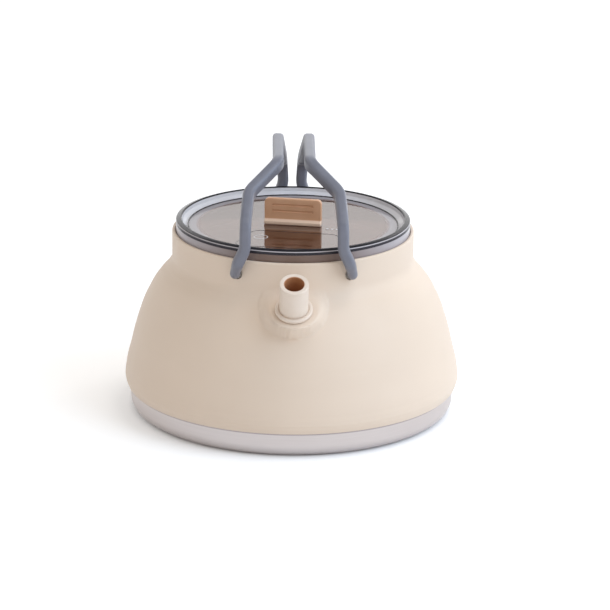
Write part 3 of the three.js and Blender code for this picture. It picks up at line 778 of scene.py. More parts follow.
def smoke_finish():
    """Smoke plastic: a clear brown panel, a frosted channel, and a dark rim with painted shade and a
    painted highlight.
    """
    s = Shader("smoke_clear")
    where = s.position()
    out = s.length(s.vector("MULTIPLY", where, (1, 1, 0)))
    height = s.along(where, "Z")
    haze = s.noise(70, 3)

    def above(value, limit, fade=SMOKE_FADE):
        return s.ramp(value, limit * MM, (limit + fade) * MM)

    def hazed(low, high):
        return s.mix(haze, srgb(*low), srgb(*high))

    top = above(height, LID_PANEL_UNDERSIDE + LID_PANEL_THICKNESS / 2)
    clear = hazed((243, 240, 241), (249, 247, 248))
    panel = hazed((136, 108, 102), (144, 117, 110))
    upper = s.mix(top * above(out, LID_PANEL_RADIUS), panel, clear)
    see = s.principled(Base_Color=s.mix(top, clear, upper), Roughness=0.012 + 0.012 * haze,
                       Normal=s.bump(s.noise(45, 2), LID_GRAIN), IOR=1.6, Transmission_Weight=1.0)

    # Painted light and shade on the rim: the lip's top is painted dark and a band under the outer edge
    # darker as shade, with a pale painted highlight on the rounded edge between them.
    crest = LID_CREST_TOP - LID_CREST_SLOPE - RIM_DARK_DEPTH
    # The rim's wall is painted lighter towards the sides, as painted reflection.
    aside = s.math("ABSOLUTE", s.along(where, "X"))
    wall = s.mix(s.ramp(aside, RIM_SIDE_REFLECTION_START * MM, LID_RADIUS * MM),
                 hazed((128, 107, 96), (138, 117, 107)), hazed((192, 187, 192), (200, 195, 200)))
    shade = hazed((46, 43, 50), (56, 53, 60))
    pale = hazed((196, 190, 192), (206, 200, 202))
    dark = hazed((34, 32, 36), (44, 42, 48))
    rim = s.mix(above(height, crest - RIM_SHADE_DEPTH, RIM_SHADE_FADE), wall, shade)
    rim = s.mix(above(height, crest - RIM_HIGHLIGHT_DEPTH), rim, pale)
    rim = s.mix(above(height, crest), rim, dark)

    channel = above(out, LID_PANEL_RADIUS + CHANNEL_START)
    lip = channel * above(height, LID_CREST_TOP - RIM_LIP_DEPTH)
    outer = s.math("MAXIMUM", above(out, LID_RADIUS - LID_CREST_WIDTH + RIM_FADE, RIM_FADE), lip)
    brim = above(out, LID_PANEL_RADIUS - PANEL_HAZE_WIDTH, PANEL_HAZE_FADE)
    body = s.mix(brim, hazed((142, 92, 66), (150, 100, 74)), hazed((160, 155, 159), (168, 163, 167)))
    frost = hazed((240, 239, 243), (248, 247, 251))
    solid = s.principled(Base_Color=s.mix(outer, s.mix(channel, body, frost), rim),
                         Roughness=0.14 + 0.05 * haze, Specular_IOR_Level=RIM_SPECULAR)
    panel_share = brim * (CHANNEL_SOLID_SHARE - PANEL_SOLID_SHARE) + PANEL_SOLID_SHARE
    share = outer * RIM_SOLID_SHARE + (1 - outer) * top * panel_share
    depth = s.node("ShaderNodeVolumeAbsorption", None, {"Color": SMOKE_TINT, "Density": SMOKE_DENSITY})
    return s.end(Surface=s.node("ShaderNodeMixShader", None, {0: share, 1: see, 2: solid}), Volume=depth)


def dark_line_and_shade_finish():
    """The dark moulded outline on the lid, also used for the painted shade along the panel's edge."""
    s = Shader("dark_moulded_line_and_edge_shade")
    shade = s.noise(300, 2)
    colour = s.mix(shade, srgb(30, 26, 30), srgb(44, 38, 42))
    return s.surface(Base_Color=colour, Roughness=0.22 + 0.1 * shade)


def print_finish():
    """White printed marks."""
    s = Shader("white_print")
    wear = s.ramp(s.noise(900, 3), 0.25, 0.6)
    colour = s.mix(wear, srgb(212, 208, 208), srgb(240, 238, 238))
    return s.surface(Base_Color=colour, Roughness=0.45 + 0.1 * wear)


# The turned outlines of the body

def spline_outline():
    """The outside of the silicone body as one fine curve of radius and height, from the seam up."""
    knots = [(SEAM_RADIUS, SEAM_HEIGHT)] * 2
    for up, inward in DOME_SHARES:
        radius = CREASE_RADIUS + (SHOULDER_TOP_RADIUS - CREASE_RADIUS) * inward
        knots.append((radius, CREASE_HEIGHT + DOME_RISE * up))
    knots = np.array([*knots, knots[-1]])
    curve = []
    for i in range(1, len(knots) - 2):
        p0, p1, p2, p3 = knots[i - 1:i + 3]
        v0, v1 = (p2 - p0) / 2, (p3 - p1) / 2
        for t in np.linspace(0, 1, CURVE_STEPS, endpoint=False):
            curve.append((2 * p1 - 2 * p2 + v0 + v1) * t ** 3 + (3 * p2 - 3 * p1 - 2 * v0 - v1) * t ** 2
                         + v0 * t + p1)
    return np.array([*curve, knots[-1]])


OUTLINE = spline_outline()


def outer_radius(height):
    return float(np.interp(height, OUTLINE[:, 1], OUTLINE[:, 0]))


def outline_slope(height):
    return (outer_radius(height + SLOPE_STEP) - outer_radius(height - SLOPE_STEP)) / (2 * SLOPE_STEP)


def inner_radius(height, wall):
    return outer_radius(height) - wall * math.hypot(1, outline_slope(height))


def hump(height, middle, width):
    return math.exp(-((height - middle) / width) ** 2)


def dressed_radius(height):
    """The outside with its crease line and the two shallow fold lines."""
    folds = sum(hump(height, fold, FOLD_LINE_WIDTH) for fold in (LOWER_FOLD_HEIGHT, UPPER_FOLD_HEIGHT))
    crease = hump(height, CREASE_HEIGHT, CREASE_LINE_WIDTH)
    return outer_radius(height) + CREASE_LINE_HEIGHT * crease - FOLD_LINE_DEPTH * folds


def outer_heights():
    """Heights of the rows on the outside: closest at the crease, and close on the dome under the boss."""
    heights = [SEAM_HEIGHT]
    for start, end, step in OUTER_RUNS:
        heights.extend(np.arange(heights[-1] + start, end, step))
    return heights[1:]


def outer_profile():
    """The outside from the seam's edge to the top of the neck, with its fillets."""
    points = [(dressed_radius(z), z) for z in outer_heights()]
    last = np.array(points[-1])
    corner = np.array((NECK_RADIUS + NECK_FILLET_OUT, SHOULDER_TOP_HEIGHT + NECK_FILLET_RISE))
    foot = np.array((NECK_RADIUS, SHOULDER_TOP_HEIGHT + NECK_FILLET))
    for s in np.linspace(0, 1, NECK_FILLET_STEPS)[1:]:
        points.append(tuple((1 - s) ** 2 * last + 2 * s * (1 - s) * corner + s * s * foot))
    straight = np.arange(foot[1] + NECK_ROW_STEP, NECK_TOP - NECK_TOP_ROUND, NECK_ROW_STEP)
    points.extend((NECK_RADIUS, z) for z in straight)
    points.extend(arc((NECK_RADIUS - NECK_TOP_ROUND, NECK_TOP - NECK_TOP_ROUND), NECK_TOP_ROUND,
                      0, math.pi / 2, CORNER_STEPS))
    return points


def wall_at(height):
    """The wall is thin between the two folds."""
    if height < LOWER_FOLD_HEIGHT:
        return BODY_WALL
    rise = min(max((height - LOWER_FOLD_HEIGHT) / FOLD_WALL_BLEND, 0), 1)
    fall = min(max((UPPER_FOLD_HEIGHT - height) / FOLD_WALL_BLEND, 0), 1)
    return BODY_WALL - (BODY_WALL - FOLD_WALL) * min(rise, fall)


def inner_profile():
    """The inside from the neck's bore down over the ledge and the dome to the groove for the pan."""
    ledge_inner = BORE_RADIUS - LEDGE_DEPTH
    ledge_underside = LEDGE_HEIGHT - LEDGE_THICKNESS
    bore_top = NECK_TOP - NECK_INNER_ROUND
    points = arc((BORE_RADIUS + NECK_INNER_ROUND, bore_top), NECK_INNER_ROUND,
                 math.pi / 2, math.pi, EDGE_STEPS)[1:]
    bore_rows = np.arange(bore_top - BORE_ROW_STEP, LEDGE_HEIGHT + BORE_ROW_END, -BORE_ROW_STEP)
    points += [(BORE_RADIUS, z) for z in bore_rows]
    points += [(BORE_RADIUS, LEDGE_HEIGHT), (ledge_inner, LEDGE_HEIGHT), (ledge_inner, ledge_underside)]
    top = ledge_underside - BODY_WALL
    foot = LOWER_FOLD_HEIGHT - GAP / 2
    inner_rows = np.arange(top, foot + INNER_ROW_END, -INNER_ROW_STEP)
    points += [(inner_radius(z, wall_at(z)), z) for z in inner_rows]
    groove_top = PAN_RIM_HEIGHT + GAP
    groove_inner = PAN_RADIUS - PAN_WALL - GAP
    groove_outer = PAN_RADIUS + GAP
    lip_inner = groove_inner - FOOT_INNER_LIP
    points += [(inner_radius(foot, BODY_WALL), foot), (lip_inner, groove_top), (lip_inner, SEAM_HEIGHT),
               (groove_inner, SEAM_HEIGHT), (groove_inner, groove_top), (groove_outer, groove_top),
               (groove_outer, SEAM_HEIGHT)]
    edge = SEAM_RADIUS - SEAM_EDGE_ROUND
    points += arc((edge, SEAM_HEIGHT + SEAM_EDGE_ROUND), SEAM_EDGE_ROUND, -math.pi / 2, 0, EDGE_STEPS)[:-1]
    return points


def body_angles():
    """Angles round the body: fine at the front, where the boss and the front holes are."""
    front = -math.pi / 2
    fine = np.arange(front - FRONT_REACH, front + FRONT_REACH, FRONT_STEP)
    rest = np.linspace(front + FRONT_REACH, front - FRONT_REACH + 2 * math.pi, BODY_AROUND_STEPS,
                       endpoint=False)
    return np.concatenate([fine, rest])


# The spout's boss

def spout_point():
    out = outer_radius(BOSS_FOOT_HEIGHT) + SPOUT_STANDOFF
    return np.array((0, -out, SHOULDER_TOP_HEIGHT - SPOUT_DROP))


def lean(elevation):
    """The axis of a circle that faces the front at an elevation, and its upward direction."""
    axis = np.array((0, -math.cos(elevation), math.sin(elevation)))
    up = np.array((0, math.sin(elevation), math.cos(elevation)))
    return axis, up


def boss_circles(inset):
    """Circles of the boss from under the flange down to the dome, or of its hollow if inset."""
    foot_height = BOSS_FOOT_HEIGHT + BOSS_FOOT_LIFT
    foot_elevation = math.atan(-outline_slope(foot_height))
    foot_axis = lean(foot_elevation)[0]
    top = spout_point() + lean(SPOUT_ELEVATION)[0] * (BOSS_TOP - inset)
    dome = np.array((0, -outer_radius(foot_height), foot_height))
    foot = dome - foot_axis * (BOSS_FOOT_SINK + inset)
    across = np.array((1.0, 0, 0))
    circles = []
    for out in np.linspace(0, 1, BOSS_FLANK_STEPS + 1):
        down = (1 - math.cos(out * math.pi)) / 2
        elevation = SPOUT_ELEVATION + (foot_elevation - SPOUT_ELEVATION) * down
        radius = BOSS_TOP_RADIUS + (BOSS_FOOT_RADIUS - BOSS_TOP_RADIUS) * out - inset
        circles.append((top + (foot - top) * down, across, lean(elevation)[1], radius))
    deep = dome - foot_axis * (2 * BOSS_FOOT_SINK + BODY_WALL + inset)
    circles.append((deep, across, lean(foot_elevation)[1], BOSS_FOOT_RADIUS - inset))
    return circles, foot_axis


def raise_boss(points, chosen, inset, blend):
    """Lifts the chosen points of the wall onto the boss, with a fillet where the two meet."""
    circles, axis = boss_circles(inset)
    boss_points, boss_faces = lofted(circles, SPOUT_SIDES)
    tree = BVHTree.FromPolygons([Vector(p) for p in boss_points], boss_faces)
    direction = Vector(axis)
    reach = BOSS_FOOT_RADIUS * 3
    for i in np.nonzero(chosen)[0]:
        start = Vector(points[i]) + direction * reach
        hit = tree.ray_cast(start, -direction)[0]
        if hit is None:
            continue
        wall = points[i] @ axis
        boss = np.array(hit) @ axis
        gap = abs(wall - boss)
        height = max(wall, boss) + (max(blend - gap, 0) ** 2 / (4 * blend) if blend > 0 else 0)
        points[i] = points[i] + axis * (height - wall)


# The handles' path

def elbow_reach(spread):
    return math.sqrt((NECK_RADIUS + PIVOT_STANDOFF) ** 2 - spread ** 2)


def pivot_line(side):
    """The front and rear elbows of a handle and the direction from one to the other."""
    front = np.array((side * FRONT_PIVOT_SPREAD, -elbow_reach(FRONT_PIVOT_SPREAD), PIVOT_HEIGHT))
    rear = np.array((side * REAR_PIVOT_SPREAD, elbow_reach(REAR_PIVOT_SPREAD), PIVOT_HEIGHT))
    return front, rear, (rear - front) / np.linalg.norm(rear - front)


def bent(corners):
    """Points along straight runs between (corner, bend radius) pairs, with each corner rounded.

    Where a run is too short for the bends at its two ends, both shrink alike.
    """
    at = np.array([corner for corner, _ in corners])
    runs = np.diff(at, axis=0)
    lengths = np.linalg.norm(runs, axis=1)
    ways = runs / lengths[:, None]
    half_turns = np.zeros(len(at))
    half_turns[1:-1] = np.arccos(np.clip((ways[:-1] * ways[1:]).sum(axis=1), -1, 1)) / 2
    setbacks = np.array([bend for _, bend in corners]) * np.tan(half_turns)
    fits = np.minimum(1, lengths / (setbacks[:-1] + setbacks[1:]))
    points = [at[0]]
    for i in range(1, len(at) - 1):
        setback = setbacks[i] * min(fits[i - 1], fits[i])
        back, ahead = -ways[i - 1] * setback, ways[i] * setback
        inward = (back + ahead) / np.linalg.norm(back + ahead)
        centre = at[i] + inward * setback / math.sin(half_turns[i])
        turn = 2 * half_turns[i]
        for s in np.linspace(0, 1, BEND_STEPS + 1):
            start = (at[i] + back - centre) * math.sin((1 - s) * turn)
            end = (at[i] + ahead - centre) * math.sin(s * turn)
            points.append(centre + (start + end) / math.sin(turn))
    points.append(at[-1])
    return points


def handle_path(side, tip):
    """A handle's centre line. Both ends run in along the pivot line by the tip's length."""
    front, rear, inward = pivot_line(side)

    def corner(spread, along, rise):
        return np.array((side * spread, along, PIVOT_HEIGHT + rise))

    front_leg = front[1] - FRONT_LEG_OUTSET
    rear_leg = rear[1] + REAR_LEG_OUTSET
    return bent([
        (front + inward * tip, 0),
        (front, ELBOW_BEND),
        (corner(FRONT_ANKLE_SPREAD, front_leg, FRONT_ANKLE_RISE), ANKLE_BEND),
        (corner(FRONT_LEG_FOOT_SPREAD, front_leg, FRONT_LEG_FOOT_RISE), LEG_BEND),
        (corner(FRONT_LEG_TOP_SPREAD, front_leg, FRONT_LEG_TOP_RISE), KNEE_BEND),
        (corner(KNEE_SPREAD, -GRIP_HALF_LENGTH - KNEE_RUN, KNEE_RISE), KNEE_BEND),
        (corner(GRIP_SPREAD, -GRIP_HALF_LENGTH, GRIP_RISE), GRIP_BEND),
        (corner(GRIP_SPREAD, GRIP_HALF_LENGTH, GRIP_RISE), GRIP_BEND),
        (corner(REAR_LEG_TOP_SPREAD, rear_leg, REAR_LEG_TOP_RISE), KNEE_BEND),
        (corner(REAR_LEG_FOOT_SPREAD, rear_leg, REAR_LEG_FOOT_RISE), LEG_BEND),
        (rear, ELBOW_BEND),
        (rear - inward * tip, 0),
    ])


# Geometry Nodes

class Tree:
    """A Geometry Nodes tree with named inputs, built one node at a time."""

    def __init__(self, name, inputs):
        self.group = bpy.data.node_groups.new(name, "GeometryNodeTree")
        face = self.group.interface
        face.new_socket("Geometry", in_out="INPUT", socket_type="NodeSocketGeometry")
        self.sockets = {}
        for label, kind in inputs.items():
            self.sockets[label] = face.new_socket(label, in_out="INPUT", socket_type=kind).identifier
        face.new_socket("Geometry", in_out="OUTPUT", socket_type="NodeSocketGeometry")
        self.entry = self.group.nodes.new("NodeGroupInput")

    def node(self, kind, settings=None, inputs=None):
        made = self.group.nodes.new(kind)
        for key, value in (settings or {}).items():
            setattr(made, key, value)
        for key, value in (inputs or {}).items():
            if isinstance(value, bpy.types.NodeSocket):
                self.group.links.new(value, made.inputs[key])
            else:
                made.inputs[key].default_value = value
        return made

    def finish(self, geometry):
        """Ends the tree: instances are made real and the material is set."""
        real = self.node("GeometryNodeRealizeInstances", None, {0: geometry})
        smooth = self.node("GeometryNodeSetShadeSmooth", None, {0: real.outputs[0]})
        painted = self.node("GeometryNodeSetMaterial", None,
                            {0: smooth.outputs[0], "Material": self.entry.outputs["Material"]})
        self.node("NodeGroupOutput", None, {0: painted.outputs[0]})


def tube_tree():
    """A round tube along a curve, with a radius and a count of sides."""
    tree = Tree("tube_along_path", {"Radius": "NodeSocketFloat", "Sides": "NodeSocketInt",
                                    "Material": "NodeSocketMaterial"})
    given = tree.entry.outputs
    section = tree.node("GeometryNodeCurvePrimitiveCircle", None,
                        {"Resolution": given["Sides"], "Radius": given["Radius"]})
    swept = tree.node("GeometryNodeCurveToMesh", None,
                      {"Curve": given["Geometry"], "Profile Curve": section.outputs[0],
                       "Fill Caps": True})
    tree.finish(swept.outputs[0])
    return tree


def dots_tree():
    """Flat round dots in a row, along a step."""
    tree = Tree("row_of_dots", {"Count": "NodeSocketInt", "Start": "NodeSocketVector",
                                "Step": "NodeSocketVector", "Radius": "NodeSocketFloat",
                                "Thickness": "NodeSocketFloat", "Material": "NodeSocketMaterial"})
    given = tree.entry.outputs
    row = tree.node("GeometryNodeMeshLine", None,
                    {"Count": given["Count"], "Start Location": given["Start"], "Offset": given["Step"]})
    dot = tree.node("GeometryNodeMeshCylinder", None,
                    {"Vertices": DOT_SIDES, "Radius": given["Radius"], "Depth": given["Thickness"]})
    placed = tree.node("GeometryNodeInstanceOnPoints", None, {0: row.outputs[0], 2: dot.outputs[0]})
    tree.finish(placed.outputs[0])
    return tree


def grow(name, source, tree, values):
    """A plain mesh piece from a source object and a tree with its inputs set."""
    modifier = source.modifiers.new("grow", "NODES")
    modifier.node_group = tree.group
    for label, value in values.items():
        modifier[tree.sockets[label]] = value
    mesh = finished_mesh(source)
    bpy.data.objects.remove(source)
    mesh.name = name
    piece = new_object(name, mesh)
    tidy_mesh(piece)
    return piece


def path_curve(name, points, closed=False):
    """A curve object through points in millimetres."""
    data = bpy.data.curves.new(name, "CURVE")
    data.dimensions = "3D"
    spline = data.splines.new("POLY")
    spline.points.add(len(points) - 1)
    for point, at in zip(spline.points, points):
        point.co = (*(np.asarray(at, float) * MM), 1)
    spline.use_cyclic_u = closed
    return new_object(f"{name}_path", data)


def tube(name, points, radius, material, sides, closed=False):
    return grow(name, path_curve(name, points, closed), TUBE,
                {"Radius": radius * MM, "Sides": sides, "Material": material})


# The pieces

def paint(piece, material):
    """Gives a piece its one material."""
    piece.data.materials.clear()
    piece.data.materials.append(material)


def steel_pan():
    floor = PAN_RADIUS - PAN_SIDE_LEAN
    inside = floor - PAN_WALL
    outline = rounded([
        (0, 0, 0), (floor, 0, PAN_CORNER_RADIUS), (PAN_RADIUS, SEAM_HEIGHT - GAP, 0),
        (PAN_RADIUS, PAN_RIM_HEIGHT, PAN_WALL / 3), (PAN_RADIUS - PAN_WALL, PAN_RIM_HEIGHT, PAN_WALL / 3),
        (PAN_RADIUS - PAN_WALL, SEAM_HEIGHT - GAP, 0), (inside, PAN_WALL, PAN_CORNER_RADIUS - PAN_WALL),
        (0, PAN_WALL, 0),
    ], steps=10)
    pan = turned("steel_pan", outline, FINE_AROUND_STEPS)
    paint(pan, steel_finish())
    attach(pan, "base")
    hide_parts("base_pan")


def silicone_body():
    outside = outer_profile()
    profile = np.array(outside + inner_profile())
    angles = body_angles()
    points, faces = turned_mesh(profile, angles)
    row = np.tile(np.arange(len(profile)), len(angles))
    heights = points[:, 2]
    near = (np.abs(points[:, 0]) < BOSS_FOOT_RADIUS + BOSS_SIDE_MARGIN) & (points[:, 1] < 0)
    near &= (heights > UPPER_FOLD_HEIGHT + BOSS_FOLD_MARGIN) & (heights < NECK_TOP - BOSS_NECK_MARGIN)
    raise_boss(points, near & (row < len(outside)), 0, BOSS_BLEND)
    dome = (row >= len(outside)) & (heights < LEDGE_HEIGHT - LEDGE_THICKNESS - BOSS_LEDGE_MARGIN)
    raise_boss(points, near & dome, BODY_WALL, 0)
    body = make_piece("silicone_body", points, faces, BODY_SHARP_ANGLE)
    axis = lean(SPOUT_ELEVATION)[0]
    cutters = [round_bar(spout_point() + axis * SPOUT_HOLE_ABOVE, spout_point() - axis * SPOUT_HOLE_BELOW,
                         SPOUT_SHANK_RADIUS + GAP)]
    hole = SLEEVE_RADIUS + PIVOT_HOLE_CLEARANCE
    depth = PIVOT_STANDOFF + WIRE_INSERTION
    for side in (-1, 1):
        front, rear, inward = pivot_line(side)
        front[0] -= side * PIVOT_HOLE_SHIFT
        for elbow, way in ((front, inward), (rear, -inward)):
            cutters.append(round_bar(elbow - way * PIVOT_HOLE_START, elbow + way * depth, hole))
    cut(body, joined("holes", cutters))
    tidy_mesh(body, BODY_SHARP_ANGLE)
    paint(body, silicone_finish())
    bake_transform(body)
    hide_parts("silicone_foot_ring", "silicone_fold_web", "silicone_upper_shell")


def neck_socket_ring():
    outline = rounded([
        (MOUTH_RADIUS, LEDGE_HEIGHT + GAP, NECK_RING_FOOT_ROUND),
        (LID_RADIUS, LEDGE_HEIGHT + GAP, NECK_RING_FOOT_ROUND),
        (LID_RADIUS, NECK_RING_TOP, NECK_RING_TOP_ROUND),
        (MOUTH_RADIUS, NECK_RING_TOP, NECK_RING_TOP_ROUND),
    ])
    ring = turned("neck_socket_ring", outline)
    cutters = []
    depth = PIVOT_STANDOFF + WIRE_INSERTION + GAP
    for side in (-1, 1):
        front, rear, inward = pivot_line(side)
        for elbow, way in ((front, inward), (rear, -inward)):
            cutters.append(round_bar(elbow, elbow + way * depth, WIRE_RADIUS + GAP))
    cut(ring, joined("sockets", cutters))
    tidy_mesh(ring)
    paint(ring, plain_finish("neck_plastic", (226, 213, 198), (231, 219, 205), 0.42))
    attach(ring, "upper_body")
    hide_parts("neck_ring")


def spout():
    flange_top = SPOUT_FLANGE_THICKNESS / 2
    barb_top = BOSS_TOP - BODY_WALL - GAP
    mouth = flange_top + SPOUT_LENGTH
    outline = rounded([
        (SPOUT_BORE, barb_top - SPOUT_BARB_THICKNESS, SPOUT_END_ROUND),
        (SPOUT_SHANK_RADIUS, barb_top - SPOUT_BARB_THICKNESS, SPOUT_END_ROUND),
        (SPOUT_BARB_RADIUS, barb_top, SPOUT_BARB_ROUND),
        (SPOUT_SHANK_RADIUS, barb_top, 0),
        (SPOUT_SHANK_RADIUS, -flange_top, 0),
        (SPOUT_FLANGE_RADIUS, -flange_top, SPOUT_FLANGE_ROUND),
        (SPOUT_FLANGE_RADIUS, flange_top, SPOUT_FLANGE_ROUND),
        (SPOUT_RADIUS + SPOUT_GROOVE, flange_top, SPOUT_GROOVE_TOP_ROUND),
        (SPOUT_RADIUS + SPOUT_GROOVE, flange_top - SPOUT_GROOVE, SPOUT_GROOVE_FOOT_ROUND),
        (SPOUT_RADIUS, flange_top - SPOUT_GROOVE, SPOUT_GROOVE_FOOT_ROUND),
        (SPOUT_RADIUS, mouth, SPOUT_LIP_ROUND),
        (SPOUT_BORE, mouth, SPOUT_LIP_ROUND),
    ], steps=8)
    place = Matrix.Rotation(math.pi / 2 - SPOUT_ELEVATION, 4, "X")
    place.translation = Vector(spout_point())
    nozzle = turned("spout", outline, SPOUT_SIDES, place)
    paint(nozzle, spout_finish())
    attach(nozzle, "upper_body")
    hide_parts("spout_nozzle")


def eased(value):
    """A ramp held between 0 and 1, with soft ends."""
    value = np.clip(value, 0, 1)
    return value * value * (3 - 2 * value)


def grip_sleeve(name, side):
    """A soft sleeve along the handle: round where it enters the neck, deeper than wide along the rest."""
    corners = np.array(handle_path(side, PIVOT_STANDOFF + SLEEVE_INSERTION))
    marks = np.concatenate(([0], np.cumsum(np.linalg.norm(np.diff(corners, axis=0), axis=1))))
    length = marks[-1]
    at = np.linspace(0, length, round(length / SLEEVE_STEP) + 1)
    line = np.column_stack([np.interp(at, marks, corners[:, i]) for i in range(3)])
    along = np.gradient(line, axis=0)
    along /= np.linalg.norm(along, axis=1)[:, None]
    across = np.array((1.0, 0, 0)) - along[:, :1] * along
    across /= np.linalg.norm(across, axis=1)[:, None]
    outward = np.cross(across, along)

    grown = eased((np.minimum(at, length - at) - SLEEVE_ROUND_END) / SLEEVE_GROWTH)
    low, high = SLEEVE_LEG_SLOPES
    leg = eased((np.abs(along[:, 2]) - low) / (high - low))

    def size(bar, upright):
        return (SLEEVE_RADIUS + (bar + (upright - bar) * leg - SLEEVE_RADIUS) * grown)[:, None]

    half, corner = size(SLEEVE_HALF_WIDTH, SLEEVE_HALF_WIDTH), size(SLEEVE_CORNER, SLEEVE_CORNER)
    out, into = size(SLEEVE_BAR_OUT, SLEEVE_LEG_OUT), size(SLEEVE_BAR_IN, SLEEVE_LEG_IN)
    turns = even_angles(SLEEVE_SIDES) + math.pi / SLEEVE_SIDES
    sideways = np.sign(np.cos(turns)) * (half - corner) + corner * np.cos(turns)
    upward = np.where(np.sin(turns) > 0, out - corner, corner - into) + corner * np.sin(turns)
    flat = across[:, None] * sideways[:, :, None]
    points = line[:, None] + flat + outward[:, None] * upward[:, :, None]
    return make_piece(name, points.reshape(-1, 3), skin(len(at), SLEEVE_SIDES))


def bail_handles():
    grey, bright = sleeve_finish(), wire_finish()
    for side, name in ((-1, "left"), (1, "right")):
        sleeve = grip_sleeve(f"{name}_grip_sleeve", side)
        paint(sleeve, grey)
        wire = tube(f"{name}_bail_wire", handle_path(side, PIVOT_STANDOFF + WIRE_INSERTION),
                    WIRE_RADIUS, bright, WIRE_SIDES)
        for piece, node, slot in ((sleeve, "sleeve", "sleeve"), (wire, "wire", "wire")):
            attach(piece, f"{name}_handle")
            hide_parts(f"{name}_handle_{node}")


def on_lid(points):
    """Points of the lid turned to the lid's resting angle."""
    turn = np.array(Matrix.Rotation(LID_TURN, 3, "Z"))
    return np.asarray(points, float) @ turn.T


def ear_part(centre):
    """One of the lid's two ears for the pin: a round head on a stem."""
    root = LID_PANEL_UNDERSIDE + EAR_ROOT
    outline = [(EAR_RADIUS, root), *arc((0, PIN_HEIGHT), EAR_RADIUS, 0, math.pi, EAR_STEPS),
               (-EAR_RADIUS, root)]
    return extruded(outline, centre, EAR_WIDTH / 2)


def panel_top(reach):
    """The height of the lid's slightly dished panel at a distance from its centre."""
    return LID_PANEL_TOP - LID_PANEL_DISH * (1 - (reach / LID_PANEL_RADIUS) ** 2)


def lid_section():
    """Half the lid's section: under the panel, round the skirt and the rim, and over the crest."""
    seat = NECK_RING_TOP + GAP
    skirt_outer = MOUTH_RADIUS - 3 * GAP - 2 * SEAL_WALL
    skirt_inner = skirt_outer - LID_SKIRT_WALL
    skirt_foot = NECK_RING_TOP - LID_SKIRT_DEPTH
    foot_top = skirt_foot + LID_SKIRT_FOOT
    crest_inner = LID_RADIUS - LID_CREST_WIDTH
    channel_top = LID_PANEL_TOP - LID_CHANNEL_DEPTH
    channel_underside = channel_top - LID_RIM_WALL
    hollow_top = LID_CREST_TOP - 2 * LID_RIM_WALL
    rim_inner = LID_RADIUS - LID_RIM_WALL
    corners = [
        (0, LID_PANEL_UNDERSIDE, 0),
        (skirt_inner, LID_PANEL_UNDERSIDE, LID_SKIRT_ROOT_ROUND),
        (skirt_inner, skirt_foot, LID_EDGE_ROUND),
        (skirt_outer + SEAL_WALL, skirt_foot, LID_EDGE_ROUND),
        (skirt_outer + SEAL_WALL, foot_top, LID_SKIRT_FOOT_ROUND),
        (skirt_outer, foot_top, LID_SKIRT_FOOT_ROUND),
        (skirt_outer, LID_RIM_UNDERSIDE, LID_RIM_ROOT_ROUND),
        (skirt_outer + LID_RIM_WALL, channel_underside, LID_RIM_ROOT_ROUND),
        (crest_inner + LID_HOLLOW_FLOOR_OUT, channel_underside, LID_HOLLOW_FLOOR_ROUND),
        (crest_inner + LID_RIM_WALL - LID_HOLLOW_TOP_IN, hollow_top, LID_HOLLOW_TOP_ROUND),
        (rim_inner, hollow_top, LID_HOLLOW_TOP_ROUND),
        (rim_inner, seat, LID_EDGE_ROUND),
        (LID_RADIUS, seat, LID_EDGE_ROUND),
        (LID_RADIUS, LID_CREST_TOP - LID_CREST_SLOPE, LID_CREST_OUTER_ROUND),
        (crest_inner, LID_CREST_TOP, LID_CREST_INNER_ROUND),
        (crest_inner - LID_CREST_WALL_LEAN, LID_CREST_TOP - LID_CREST_WALL_DEPTH, LID_CREST_WALL_ROUND),
        (LID_PANEL_RADIUS + LID_CHANNEL_OUTER, channel_top, LID_CHANNEL_OUTER_ROUND),
        (LID_PANEL_RADIUS + LID_CHANNEL_INNER, channel_top, LID_CHANNEL_INNER_ROUND),
        (LID_PANEL_RADIUS, LID_PANEL_TOP, LID_PANEL_ROUND),
    ]
    for reach in np.linspace(LID_PANEL_RADIUS - LID_PANEL_FLAT, 0, PANEL_ROWS):
        corners.append((reach, panel_top(reach), 0))
    return rounded(corners, steps=8)


def smoke_lid():
    lid = turned("smoke_lid", lid_section(), FINE_AROUND_STEPS)
    ears = [ear_part(side * EAR_SPACING / 2) for side in (-1, 1)]
    cut(lid, joined("ears", [(on_lid(points), faces) for points, faces in ears]), "UNION")
    ends = on_lid([(-EAR_SPACING, 0, PIN_HEIGHT), (EAR_SPACING, 0, PIN_HEIGHT)])
    cut(lid, joined("pin_hole", [round_bar(*ends, TAB_PIN_RADIUS + GAP, PIN_HOLE_STEPS)]))
    tidy_mesh(lid)
    paint(lid, smoke_finish())
    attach(lid, "lid")
    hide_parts("lid")


def ring_of_points(centre, radius, height, steps):
    """Points of a level circle."""
    return [(centre[0] + radius * math.cos(a), centre[1] + radius * math.sin(a), height)
            for a in even_angles(steps)]


def lid_outline():
    """The thin dark line moulded round the tongue in front of the tab."""
    sink = OUTLINE_LINE_RADIUS * MARK_SINK_SHARE
    loop = rounded([
        (OUTLINE_CENTRE - OUTLINE_HALF_BACK, OUTLINE_BACK, OUTLINE_CORNER),
        (OUTLINE_CENTRE + OUTLINE_HALF_BACK, OUTLINE_BACK, OUTLINE_CORNER),
        (OUTLINE_CENTRE + OUTLINE_HALF_FRONT, OUTLINE_FRONT, OUTLINE_CORNER),
        (OUTLINE_CENTRE - OUTLINE_HALF_FRONT, OUTLINE_FRONT, OUTLINE_CORNER),
    ], steps=14)
    points = on_lid([(x, y, panel_top(math.hypot(x, y)) - sink) for x, y in loop])
    line = tube("lid_tongue_line", points, OUTLINE_LINE_RADIUS, dark_line_and_shade_finish(), LINE_SIDES,
                closed=True)
    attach(line, "lid")


